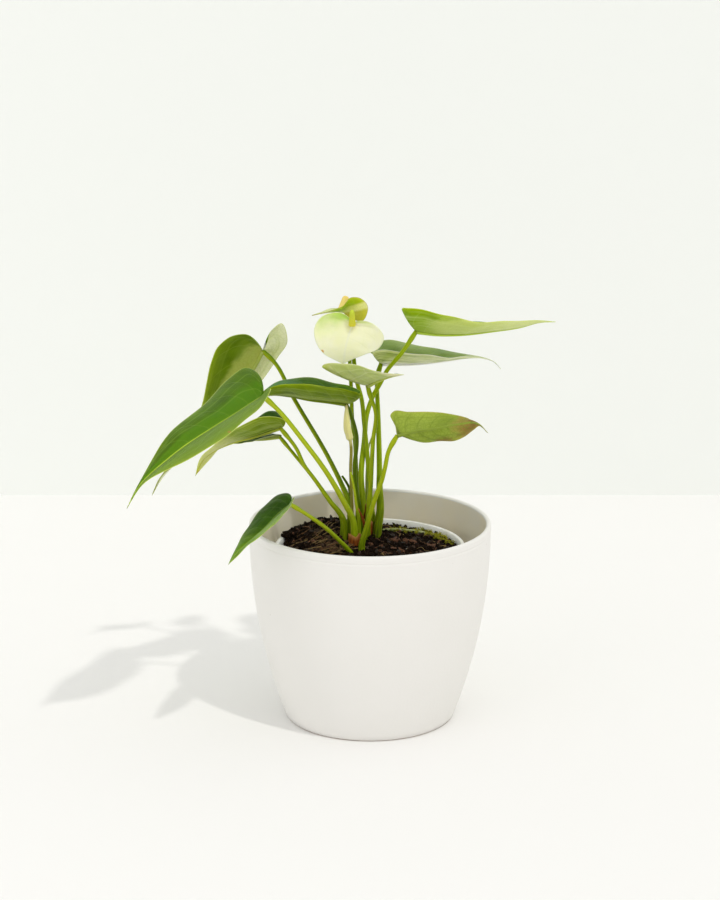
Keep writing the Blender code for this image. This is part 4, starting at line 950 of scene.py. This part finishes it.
bloomBack = dict(
    node="back", spatheSlot="spathe_green", spadixSlot="spadix_yellow",
    stem=(1.5, 1.2), face=(0, 0.2, 1), bow=(-0.1, -0.05), veins=7, waves=(3, 0.3),
    spadix=[(-17.3, 35.3, 252), (-14.6, 38.2, 259.8)], spadixRadius=2.5, spadixTaper=0.25,
    spadixLook=dict(tip="#EBCF6A", foot="#F2DE8C", bud="#EFD87C"), stalkLook=greenStalk,
    stalk=[(-8, 26.5, 112), (-7.5, 27, 128.5), (-8.5, 28, 147.5), (-9.5, 29.5, 169.5),
        (-11, 31.5, 182), (-11.5, 33, 194.5), (-12, 34, 208), (-13.5, 35, 229.5),
        (-16, 34.3, 248.6)],
    midrib=[(-16, 34, 250), (-21.5, 33.5, 251.5), (-28.5, 32.5, 251), (-36, 31, 249)],
    left=[(-10, 31, 248), (-5, 27, 246.5), (-2, 23, 251.5), (-1.5, 21, 257), (-7, 20, 262.5),
        (-12, 19, 263), (-16.5, 20, 257.5), (-24, 24, 253.5), (-31, 28, 251)],
    right=[(-12.5, 38, 249), (-10, 43, 250.5), (-13.5, 48, 251), (-20, 49, 250), (-26, 44, 250),
        (-31.5, 37, 249.5)],
    upper=dict(main="#7FA01A", deep="#6C9014", vein="#A8BC50", midrib="#A8BC50", edge="#C0C878",
        patches=[dict(along=(0.6, 1.3), colour="#C9D2A0", soft=0.1)]),
    under=dict(main="#C8C04C", deep="#B8B23E", vein="#C8CC70", midrib="#B4BC40", edge="#9C8C48",
        streaks=0.15, veinShow=0.04, basalShow=0.1, net=0.15, netColour="#98983A",
        # the first band is a darker green over the top of the flap; the second is a painted
        # highlight, a pale band across the flap where it catches the light
        patches=[dict(half="left", band=(261.2, 300), direction=(-0.376, 0, 1), colour="#98AA0C",
                     soft=0.7),
                 dict(half="left", band=(256.2, 260.9), direction=(-0.376, 0, 1), colour="#E8E6A4",
                     soft=1.2, amount=0.85),
                 dict(along=(0.55, 1.3), colour="#94AE22", soft=0.1),
                 dict(along=(0.8, 1.3), colour="#D2D6A4", soft=0.1)]))


def spadixSkin(name, look):
    # The spadix's flowers: tiny packed domes, matt, with a darker seam round each and pores of
    # 0.4 mm
    material, add, place = newMaterial(name, {
        "Roughness": 0.6, "IOR": 1.42, "Specular IOR Level": 0.2, "Subsurface Weight": 0.2,
        "Subsurface Radius": (0.0012, 0.0012, 0.0003)})
    along, dome = [add("Attribute", {}, "Fac", attribute_name=key) for key in ("along", "across")]
    colour = add("Mix", {0: along, 6: look["foot"], 7: look["tip"]}, 2, data_type="RGBA")
    colour = add("Mix", {0: dome, 6: colour, 7: look["bud"]}, 2, data_type="RGBA")
    pores = add("TexNoise", {"Vector": place, "Scale": perMetre(0.4), "Detail": 2})
    return finishSkin(material, colour, (pores, 0.3, 0.2))


def addSpadix(shape, bloom, form):
    # A blunt finger set with domes in spirals, each about 1.2 mm across
    base, top = (np.array(end, float) for end in bloom["spadix"])
    axis, length = unit(top - base), np.linalg.norm(top - base)
    side = unit(np.cross(axis, (1, 0, 0)))
    other = np.cross(axis, side)
    points, dome, along = [], [], []
    for ring in range(form["rings"] + 1):
        share = ring / form["rings"]
        intoEnd = max(0, (share - form["roundEnd"]) / (1 - form["roundEnd"]))
        radius = bloom["spadixRadius"] * (1.04 - bloom["spadixTaper"] * share)
        radius *= math.sqrt(max(0, 1 - intoEnd**2))
        for s in range(form["sides"]):
            turn = s / form["sides"]
            u, v = turn * form["around"] + share * form["rowsUp"] / 2, share * form["rowsUp"]
            bump = abs(math.sin(math.pi * u)) * abs(math.sin(math.pi * (v + 0.5 * (int(u) % 2))))
            bump = bump**0.6
            x, y = polar(radius * (1 + form["domeHeight"] * (bump - 0.5) * (share < 0.98)),
                         fullTurn * turn)
            points.append(base + axis * length * share + x * side + y * other)
            dome.append(bump * 0.7)
            along.append(share)
    addPart(shape, points, closedTube(form["rings"] + 1, form["sides"]), 0, along=along,
            across=dome)


def makeBloom(name, bloom):
    stalk, spathe, spadix = newShape(), newShape(), newShape()
    node = "bloom_%s_" % bloom["node"]
    addPetiole(stalk, bloom["stalk"], bloom["stem"], 0, knee=False)
    finishPiece(name + "Stalk", stalk, [stemSkin(name + "StalkSkin", bloom["stalkLook"])],
                [node + "stalk"])
    addBlade(spathe, bloom, spatheForm)
    skins = [bladeSkin(name + "SpatheFront", {**upperSide, **bloom["upper"]}),
             bladeSkin(name + "SpatheBack", {**underSide, **bloom["under"]})]
    finishPiece(name + "Spathe", spathe, skins, [node + "spathe"])
    addSpadix(spadix, bloom, spadixForm)
    finishPiece(name + "Spadix", spadix, [spadixSkin(name + "SpadixSkin", bloom["spadixLook"])],
                [node + "spadix"])


makeBloom("bloomFront", bloomFront)
makeBloom("bloomBack", bloomBack)
print("blooms are made")


# Rolled leaf, spears and scales

youngLeaf = dict(
    stalk=[(-11.5, 8, 112), (-11, 8.5, 125), (-11.5, 9, 140), (-12, 9.5, 155), (-12.2, 8, 175)],
    roll=[(-12.5, 7.8, 176.5), (-14, 7.5, 182), (-14.5, 7.5, 190), (-14.5, 7.8, 198)],
    stalkRadius=1.0, rollRadii=[2.3, 2.7, 2.1, 0.6], overlap=0.22, rings=110,
    stalkColour="#8F8A34", rollColour="#EBE7A6", rollShade="#DED684", tip="#C4B070")

paleSheath = dict(stalk="#B9C27A", stalkDeep="#A3B05A", foot="#8A9A3A")
spears = dict(
    spearLight=dict(stem=(2.0, 0.7), colour=paleStalk, node="spear_light", route=[
        (-7, 7.5, 112), (-7, 7, 124), (-8.5, 6, 134), (-10, 5.5, 145.5), (-12, 5, 155.5)]),
    spearDark=dict(stem=(1.4, 0.7), colour=darkStalk, node="spear_dark", route=[
        (-13.5, 19.5, 112), (-12.5, 20.5, 133), (-13, 21.5, 140.5), (-15.5, 21.5, 145.5),
        (-17.5, 21.5, 148.5)]),
    spearPale=dict(stem=(1.4, 0.7), colour=paleSheath, node="spear_pale", route=[
        (-1, 29.5, 112), (-2, 29.5, 130.5), (-2, 30, 150), (-0.5, 31, 165.5),
        (1.5, 31.5, 171.5)]))

scales = dict(
    scaleFront=dict(foot=(-9.5, 2), bottom=104, top=116.5, radius=3.4, node="scale_front"),
    scaleBack=dict(foot=(-2.2, 20.6), bottom=105, top=119, radius=3.4, node="scale_back"))
paper = dict(main="#A65C1E", deep="#6A3410", pale="#BE8A50", tears=((3, 0.7), (5, 0.5)),
             steps=96, levels=14, inner=0.1, thickness=0.4, sliverRadius=0.95,
             slivers=[[(-3.4, 5, 122), (-5, 4.5, 127), (-7.4, 4, 132.5)],
                      [(-3.6, 17, 122), (-2.8, 16.5, 127), (-2.6, 16, 132)]])


def rolledSkin(name, look):
    # A leaf before it opens: soft, nearly without green, streaked every 0.7 mm round it, with
    # the stalk's skin below it
    material, add, place = newMaterial(name, {
        "Roughness": 0.5, "IOR": 1.42, "Specular IOR Level": 0.25, "Subsurface Weight": 0.2,
        "Subsurface Radius": (0.0012, 0.0012, 0.0004)})
    along, turn = [add("Attribute", {}, "Fac", attribute_name=key) for key in ("along", "turn")]
    stretched = add("Mapping", {"Vector": place, "Scale": (1400, 1400, 90)})
    streak = add("TexNoise", {"Vector": stretched, "Scale": 1, "Detail": 2})
    rolled = add("Mix", {0: streak, 6: look["rollColour"], 7: look["rollShade"]}, 2,
                 data_type="RGBA")
    up = add("MapRange", {"Value": along, 1: 0.72, 2: 0.78})
    seam = add("MapRange", {"Value": turn, 1: 5.6, 2: 6.2, 3: 0, 4: 0.5})
    seam = add("Math", {0: seam, 1: up}, operation="MULTIPLY")
    end = add("MapRange", {"Value": along, 1: 0.965, 2: 1.0})
    colour = look["stalkColour"]
    for mask, over in ((up, rolled), (seam, look["tip"]), (end, look["tip"])):
        colour = add("Mix", {0: mask, 6: colour, 7: over}, 2, data_type="RGBA")
    return finishSkin(material, colour, (streak, 0.3, 0.2))


def makeYoungLeaf(leaf):
    stalk = fromBelow(leaf["stalk"])
    path = stalk + leaf["roll"]
    reached = pathLengths(path)
    radii = np.interp(np.linspace(0, reached[-1], leaf["rings"]), reached,
                      [leaf["stalkRadius"]] * len(stalk) + leaf["rollRadii"])
    radii[-1] *= 0.4
    rollStart = reached[len(stalk)] / reached[-1]

    def rollOutline(turns, share):
        opened = leaf["overlap"] * float(smoothStep(rollStart - 0.01, rollStart + 0.04, share))
        return 1 - opened * turns / fullTurn

    shape = newShape()
    addTube(shape, smoothCurve(path, leaf["rings"]), radii, 32, 0, rollOutline,
            towards=(0, -400, 120))
    finishPiece("youngLeaf", shape, [rolledSkin("rolledLeafSkin", leaf)], ["young_leaf"])


def spearOutline(turns, share):
    # A folded sheath: keeled at the back and hollowed in front, more so towards the point
    return 1 + 0.25 * share * np.cos(2 * turns) - 0.3 * share * np.exp(-(turns - math.pi)**2 / 0.3)


def makeSpear(name, spear):
    route, rings = fromBelow(spear["route"]), 60
    radii, length = stemRadii(route, spear["stem"], rings)
    point = np.linspace(12, 2, rings) / 2.3   # its last rings draw in a little
    radii = radii * np.where(np.arange(rings) > rings - 6, point, 1).clip(0.25, 1)
    shape = newShape()
    addTube(shape, smoothCurve(route, rings), radii, 16, 0, spearOutline)
    finishPiece(name, shape, [stemSkin(name + "Skin", spear["colour"])], [spear["node"]])


def papery(name, look):
    # A dried bud scale: brown, papery and ribbed lengthwise every millimetre, with pale frayed
    # edges
    material, add, place = newMaterial(name, {
        "Roughness": 0.75, "IOR": 1.45, "Specular IOR Level": 0.12, "Subsurface Weight": 0.1,
        "Subsurface Radius": (0.001, 0.0006, 0.0003)})
    stretched = add("Mapping", {"Vector": place, "Scale": (900, 900, 120)})
    ribs = add("TexNoise", {"Vector": stretched, "Scale": 1, "Detail": 4})
    shade = add("MapRange", {"Value": ribs, 1: 0.35, 2: 0.65})
    colour = add("Mix", {0: shade, 6: look["main"], 7: look["deep"]}, 2, data_type="RGBA")
    along = add("Attribute", {}, "Fac", attribute_name="along")
    frayed = add("MapRange", {"Value": along, 1: 0.75, 2: 1.0, 3: 0, 4: 0.8})
    colour = add("Mix", {0: frayed, 6: colour, 7: look["pale"]}, 2, data_type="RGBA")
    return finishSkin(material, colour, (ribs, 0.6, 0.4))


def makeScale(name, scale, look, material):
    # A papery ring with a torn upper edge and a crinkled wall
    steps, levels = look["steps"], look["levels"]
    points, along = [], []
    for side in (0, 1):
        for level in range(levels + 1):
            for s in range(steps):
                a = fullTurn * s / steps
                torn = sum(high * math.sin(n * a + n) for n, high in look["tears"])
                torn += 0.5 * noise.noise(Vector((*polar(1, a), 0)) * 6)
                z = scale["bottom"] + (scale["top"] + torn - scale["bottom"]) * level / levels
                crinkle = 0.22 * noise.noise(Vector((*polar(4, a), z * 0.25)))
                radius = scale["radius"] + look["inner"] + look["thickness"] * side + crinkle
                x, y = polar(radius, a)
                points.append((scale["foot"][0] + x, scale["foot"][1] + y, z))
                along.append(level / levels)
    half = (levels + 1) * steps
    wall = ringFaces(levels + 1, steps)
    faces = [(b, a, d, c) for a, b, c, d in wall]
    faces += [tuple(half + i for i in quad) for quad in wall]
    for s in range(steps):
        a, b = s, (s + 1) % steps
        faces.append((a, b, half + b, half + a))
        a, b = levels * steps + a, levels * steps + b
        faces.append((b, a, half + a, half + b))
    shape = newShape()
    addPart(shape, points, faces, 0, along=along)
    finishPiece(name, shape, [material], [scale["node"]])


makeYoungLeaf(youngLeaf)
for name, spear in spears.items():
    makeSpear(name, spear)
paperSkin = papery("driedBudScale", paper)
for name, scale in scales.items():
    makeScale(name, scale, paper, paperSkin)
print("rolled leaf, spears and scales are made")


# Soil

# mounds: place, rise and spread; the second one hides the nursery pot's rim at the back left,
# and so do the crumbs spilt there, between two turns from the right in radians
soil = dict(edgeHeight=105.5, mounds=((-12, 22, 6.5, 28), (-32, 31, 6, 19)), bump=0.9,
            bumpScale=0.16, rings=110, steps=260, seed=11,
            crumbs=2000, crumbSize=(0.4, 1.6), crumbRough=0.9, crumbGap=0.4,
            spilt=420, spiltFrom=(1.9, 2.85), spiltRadius=(53.5, 58.0), spiltSize=(0.5, 1.5),
            chips=30, chipSeed=7, chipSpread=48, chipLength=(4, 9), chipWidth=(2, 4),
            chipThickness=3, chipTilt=0.3, chipRough=0.5, chipKeepOff=7.5,
            smallChips=240, smallLength=(0.8, 3.4), smallWidth=(0.4, 1.5), smallRough=0.8,
            smallThickness=(0.25, 0.7), smallTilt=0.7, smallGap=1.6, smallLift=(0.6, 1.8),
            perlite=8, perliteSize=(0.3, 0.6), perliteLift=1.3, perliteRough=0.6,
            fibres=110, fibreRadius=(0.1, 0.42), fibreLength=(4, 13), fibreLift=(0.9, 2.4),
            fibreWander=0.9, combedShare=0.6, combedFrom=(2.3, 3.7), combedRadius=(12, 46),
            combedHeading=(0.2, 0.9), combedLength=(9, 26),
            peat="#24160C", peatDeep="#100904", peatPale="#3E2A1A")
bark = dict(redPineBark=("#74492F", "#34200F"), brownPineBark=("#4C3320", "#20140A"),
            darkPineBark=("#2C1C10", "#120B05"))

# Moss along the back right of the soil, with a pale root that runs beside it
moss = dict(path=[(15, 36), (24, 37.5), (33, 35.5), (41, 30.5), (46.5, 23), (49.5, 15)],
            shoots=380, spreadAcross=2.6, length=(1.4, 3.4), leaflets=7,
            leafSize=(0.55, 0.28, 0.16), seed=5, tallFrom=0.45, tallShare=0.12, tall=1.7,
            bareBelow=-0.08, edge=53, mossDeep="#3C440A", mossTip="#9A9628",
            root=[(8, 30), (14, 34), (22, 37), (31, 36.5), (38, 33)], rootRadius=1.0,
            rootPale="#C2C596", rootGreen="#8E9C4C")


def soilHeight(x, y):
    height = soil["edgeHeight"] + soil["bump"] * noise.noise(Vector((x, y, 0)) * soil["bumpScale"])
    atEdge = min(1, max(0, (56.5 - math.hypot(x, y)) / 3))
    for moundX, moundY, rise, spread in soil["mounds"]:
        height += atEdge * rise * math.exp(-math.hypot(x - moundX, y - moundY)**2 / spread**2)
    return height


def peatSkin(name, look):
    # Peat and bark compost: dark, damp and matt, with bits of 3 mm, and pale ones of 0.7 mm
    material, add, place = newMaterial(name, {"Roughness": 0.88, "IOR": 1.4,
                                              "Specular IOR Level": 0.15})
    coarse = add("TexNoise", {"Vector": place, "Scale": perMetre(3.333), "Detail": 5})
    shade = add("MapRange", {"Value": coarse, 1: 0.38, 2: 0.62})
    colour = add("Mix", {0: shade, 6: look["peatDeep"], 7: look["peat"]}, 2, data_type="RGBA")
    fine = add("TexNoise", {"Vector": place, "Scale": perMetre(0.7143), "Detail": 3})
    pale = add("MapRange", {"Value": fine, 1: 0.6, 2: 0.75, 3: 0, 4: 0.7})
    colour = add("Mix", {0: pale, 6: colour, 7: look["peatPale"]}, 2, data_type="RGBA")
    return finishSkin(material, colour, (fine, 0.7, 0.8))


def drySkin(name, main, deep, cell, rough=0.85, detail=3, twist=0, relief=(0.4, 0.2)):
    # What is dead and dry in the soil: bark, flaky in red-brown layers 1 mm thick, and roots and
    # coconut fibre, matt and uneven in colour every 3 mm
    material, add, place = newMaterial(name, {"Roughness": rough, "IOR": 1.45})
    uneven = add("TexNoise", {"Vector": place, "Scale": perMetre(cell), "Detail": detail,
                              "Distortion": twist})
    shade = add("MapRange", {"Value": uneven, 1: 0.35, 2: 0.65})
    colour = add("Mix", {0: shade, 6: main, 7: deep}, 2, data_type="RGBA")
    return finishSkin(material, colour, (uneven, *relief))


def perliteSkin(name):
    # Expanded volcanic glass: chalky white with tiny pores, every third of a millimetre
    material, add, place = newMaterial(name, {"Roughness": 0.85, "IOR": 1.5})
    pores = add("TexVoronoi", {"Vector": place, "Scale": perMetre(0.3333)})
    colour = add("Mix", {0: pores, 6: "#D8D2C4", 7: "#EFECE2"}, 2, data_type="RGBA")
    return finishSkin(material, colour, (pores, 0.5, 0.2))


def mossSkin(name, look):
    # Moss: tiny matt leaves, olive below and yellow at the growing tips, in patches of 4.5 mm
    material, add, place = newMaterial(name, {
        "Roughness": 0.8, "IOR": 1.42, "Specular IOR Level": 0.1, "Subsurface Weight": 0.2,
        "Subsurface Radius": (0.0006, 0.0008, 0.0002)})
    along = add("Attribute", {}, "Fac", attribute_name="along")
    uneven = add("TexNoise", {"Vector": place, "Scale": perMetre(4.545), "Detail": 3})
    lift = add("MapRange", {"Value": uneven, 3: -0.3, 4: 0.3})
    tip = add("Math", {0: along, 1: lift}, operation="ADD", use_clamp=True)
    colour = add("Mix", {0: tip, 6: look["mossDeep"], 7: look["mossTip"]}, 2, data_type="RGBA")
    return finishSkin(material, colour, (uneven, 0.4, 0.2))


def lump(level):
    ball = bmesh.new()
    bmesh.ops.create_icosphere(ball, subdivisions=level, radius=1)
    points = np.array([v.co for v in ball.verts])
    faces = [tuple(v.index for v in face.verts) for face in ball.faces]
    ball.free()
    return points, faces


def addLump(shape, form, place, size, turn, rough, slot, draw):
    # One stone, crumb or chip: a ball pulled out to size, made uneven and turned
    points, faces = form
    seed = Vector((draw.random(), draw.random(), draw.random())) * 50
    bumps = np.array([1 + rough * noise.noise(Vector(p) * 1.7 + seed) for p in points])
    square = np.sign(points) * np.abs(points)**0.7
    turned = (square * bumps[:, None] * size) @ np.array(Euler(turn).to_matrix()).T
    addPart(shape, turned + place, faces, slot)


def allFeet():
    stems = [(leaf["petiole"][0], leaf["stem"][0]) for leaf in leaves.values()]
    stems += [(bloom["stalk"][0], bloom["stem"][0]) for bloom in (bloomFront, bloomBack)]
    stems += [(spear["route"][0], spear["stem"][0]) for spear in spears.values()]
    return stems + [(youngLeaf["stalk"][0], youngLeaf["stalkRadius"])]


def overDisc(draw, reach):
    turn, radius = draw.uniform(0, fullTurn), reach * math.sqrt(draw.random())
    return polar(radius, turn)


def clearPlace(draw, reach, feet, gap):
    # A random place that keeps clear of every stalk's foot
    while True:
        x, y = overDisc(draw, reach)
        if all(math.hypot(x - foot[0], y - foot[1]) >= radius + gap for foot, radius in feet):
            return x, y


def addCrumb(shape, form, place, ground, size, rough, draw):
    turn = [draw.uniform(0, 6) for axis in "xyz"]
    place = (*place, ground + draw.uniform(0, 1.3))
    size = (size, size * draw.uniform(0.5, 1), size * 0.7)
    addLump(shape, form, place, size, turn, rough, 0, draw)


def soilBody(look, edge):
    # The uneven top in rings of points, then the side and the flat underside
    rings, steps = look["rings"], look["steps"]
    bottom = outerPot["floor"] + 2 * nurseryPot["gap"] + nurseryPot["wall"]
    points = [(0, 0, soilHeight(0, 0))]
    for ring in range(1, rings + 1):
        radius = edge * ring / rings
        calm = min(1, (edge - radius) / 2)
        for s in range(steps):
            x, y = polar(radius, fullTurn * s / steps)
            rough = 1.5 * noise.fractal(Vector((x, y, 3)) * 0.55, 1.0, 2.0, 4)
            rough = rough * calm + 0.5 * abs(noise.noise(Vector((x, y, 9)) * 1.6)) * calm
            z = soilHeight(x, y) + rough
            points.append((x, y, min(z, look["edgeHeight"]) if ring == rings else z))
    foot = nurseryRadius(bottom) - nurseryPot["gap"]
    points += [(*polar(foot, fullTurn * s / steps), bottom) for s in range(steps)]
    faces = [(0, 1 + s, 1 + (s + 1) % steps) for s in range(steps)]
    faces += [(a + 1, d + 1, c + 1, b + 1) for a, b, c, d in ringFaces(rings + 1, steps)]
    faces.append(tuple(1 + rings * steps + s for s in range(steps))[::-1])
    return points, faces


def makeSoil(look):
    draw, chipDraw = random.Random(look["seed"]), random.Random(look["chipSeed"])
    feet = allFeet()
    edge = nurseryRadius(look["edgeHeight"]) - nurseryPot["gap"]
    small, middle = lump(1), lump(2)
    body, chips, stones, strands = [newShape() for piece in range(4)]
    addPart(body, *soilBody(look, edge))

    # crumbs of peat over the whole surface, some half as big again, and those on the rim
    for k in range(look["crumbs"]):
        place = clearPlace(draw, edge - 1.2, feet, look["crumbGap"])
        size = draw.uniform(*look["crumbSize"]) * (1 if draw.random() < 0.8 else 1.5)
        addCrumb(body, small, place, soilHeight(*place), size, look["crumbRough"], draw)
    for k in range(look["spilt"]):
        turn, radius = draw.uniform(*look["spiltFrom"]), draw.uniform(*look["spiltRadius"])
        size = draw.uniform(*look["spiltSize"])
        addCrumb(body, small, polar(radius, turn), nurseryPot["top"], size, look["crumbRough"],
                 draw)
    finishPiece("soil", body, [peatSkin("dampPeat", look)], ["soil"], smooth=False)

    # the chips that the solid has, at the same places, and smaller ones between them
    made = 0
    while made < look["chips"]:
        x, y = overDisc(chipDraw, look["chipSpread"])
        size = [chipDraw.uniform(*look["chipLength"]), chipDraw.uniform(*look["chipWidth"]),
                look["chipThickness"]]
        turn = [chipDraw.uniform(-look["chipTilt"], look["chipTilt"]) for axis in "xy"]
        turn.append(chipDraw.uniform(0, math.pi))
        away = min(math.hypot(x - foot[0], y - foot[1]) for foot, radius in feet)
        if away >= look["chipKeepOff"]:
            addLump(chips, middle, (x, y, soilHeight(x, y) + 0.2), [value / 2 for value in size],
                    turn, look["chipRough"], made % 3, draw)
            made += 1
    for k in range(look["smallChips"]):
        x, y = clearPlace(draw, edge - 2.5, feet, look["smallGap"])
        size = [draw.uniform(*look[key]) for key in ("smallLength", "smallWidth", "smallThickness")]
        turn = [draw.uniform(-look["smallTilt"], look["smallTilt"]) for axis in "xy"]
        turn.append(draw.uniform(0, math.pi))
        addLump(chips, middle, (x, y, soilHeight(x, y) + draw.uniform(*look["smallLift"])), size,
                turn, look["smallRough"], k % 3, draw)
    finishPiece("barkChips", chips,
                [drySkin(name, deep, main, 1.1111, 0.8, 4, 1.0, (0.7, 0.5))
                 for name, (main, deep) in bark.items()], smooth=False)

    # white perlite
    for k in range(look["perlite"]):
        x, y = overDisc(draw, edge - 3)
        size = draw.uniform(*look["perliteSize"])
        addLump(stones, middle, (x, y, soilHeight(x, y) + look["perliteLift"]),
                (size, size, size * 0.8), (0, 0, 0), look["perliteRough"], 0, draw)
    finishPiece("perlite", stones, [perliteSkin("expandedPerlite")], smooth=False)

    # straw-coloured root fibres and coir; those at the left are long and lie the same way
    for k in range(look["fibres"]):
        if k < look["combedShare"] * look["fibres"]:
            turn, radius = draw.uniform(*look["combedFrom"]), draw.uniform(*look["combedRadius"])
            x, y = polar(radius, turn)
            heading = draw.uniform(*look["combedHeading"])
            length = draw.uniform(*look["combedLength"])
        else:
            x, y = overDisc(draw, edge - 5)
            heading, length = draw.uniform(0, fullTurn), draw.uniform(*look["fibreLength"])
        route, wander = [], look["fibreWander"]
        for j in range(6):
            onLine = np.add((x, y), polar(length * (j / 5 - 0.5), heading))
            place = [value + draw.uniform(-wander, wander) for value in onLine]
            inside = min(1, (edge - 1) / math.hypot(*place))
            place = [value * inside for value in place]
            route.append((*place, soilHeight(*place) + draw.uniform(*look["fibreLift"])))
        radius = draw.uniform(*look["fibreRadius"])
        addTube(strands, smoothCurve(route, 12), np.full(12, radius), 5, k % 2)
    finishPiece("rootFibres", strands, [drySkin("dryRoots", "#8C7446", "#5A4426", 2.857),
                                        drySkin("coir", "#6A4A2A", "#3A2414", 2.857)])


def makeMoss(look):
    draw = random.Random(look["seed"])
    shape, strip, leaflet = newShape(), newShape(), lump(1)
    path = smoothCurve([(x, y, 0) for x, y in look["path"]], 200)
    for k in range(look["shoots"]):
        share = draw.random()
        x, y = [value + draw.gauss(0, look["spreadAcross"]) for value in path[int(share * 199)][:2]]
        inside = min(1, look["edge"] / math.hypot(x, y))
        x, y = x * inside, y * inside
        if noise.noise(Vector((x, y, 4)) * 0.28) < look["bareBelow"]:
            continue
        foot = np.array((x, y, soilHeight(x, y) + 0.6))
        length = draw.uniform(*look["length"])
        if share > look["tallFrom"] and draw.random() < look["tallShare"]:
            length *= look["tall"]
        lean = np.array((draw.gauss(0, 0.35), draw.gauss(0, 0.35), 1.0))
        route = [foot + length * t * lean + (0, 0, -0.3 * length * t * t) for t in (0, 0.5, 1)]
        addTube(shape, route, [0.22, 0.18, 0.08], 5, 0, towards=(200, 0, 0))
        for j in range(look["leaflets"]):
            t = (j + 1) / look["leaflets"]
            turn = 2.4 * j + draw.uniform(0, 1)
            middle = route[0] + (route[2] - route[0]) * t + 0.45 * np.array((*polar(1, turn), 0.3))
            addLump(shape, leaflet, middle, np.array(look["leafSize"]) * (1.2 - 0.4 * t),
                    (0, -0.6, turn), 0.3, 0, draw)
            shape["marks"]["along"][-1] = np.full(len(leaflet[0]), t)
    finishPiece("moss", shape, [mossSkin("cushionMoss", look)])
    route = [(x, y, soilHeight(x, y) + 1.7) for x, y in look["root"]]
    radii = look["rootRadius"] * np.sin(np.linspace(0.25, 2.9, 60))**0.5
    addTube(strip, smoothCurve(route, 60), radii, 16, 0)
    skin = drySkin("paleRootSkin", look["rootPale"], look["rootGreen"], 2.857)
    finishPiece("surfaceRoot", strip, [skin])


def makeSlivers(look):
    # Two dry strips of bud scale, caught upright between the stalks
    shape = newShape()
    for route in look["slivers"]:
        addTube(shape, smoothCurve(route, 24), look["sliverRadius"] * np.linspace(1, 0.35, 24), 12,
                outline=lambda turns, share: 0.25 + 0.75 * np.abs(np.cos(turns)))
    finishPiece("budSlivers", shape, [papery("dryBudStrip", look)])


makeSoil(soil)
makeMoss(moss)
makeSlivers(paper)
print("soil is made")

# End

print("the scene is built")
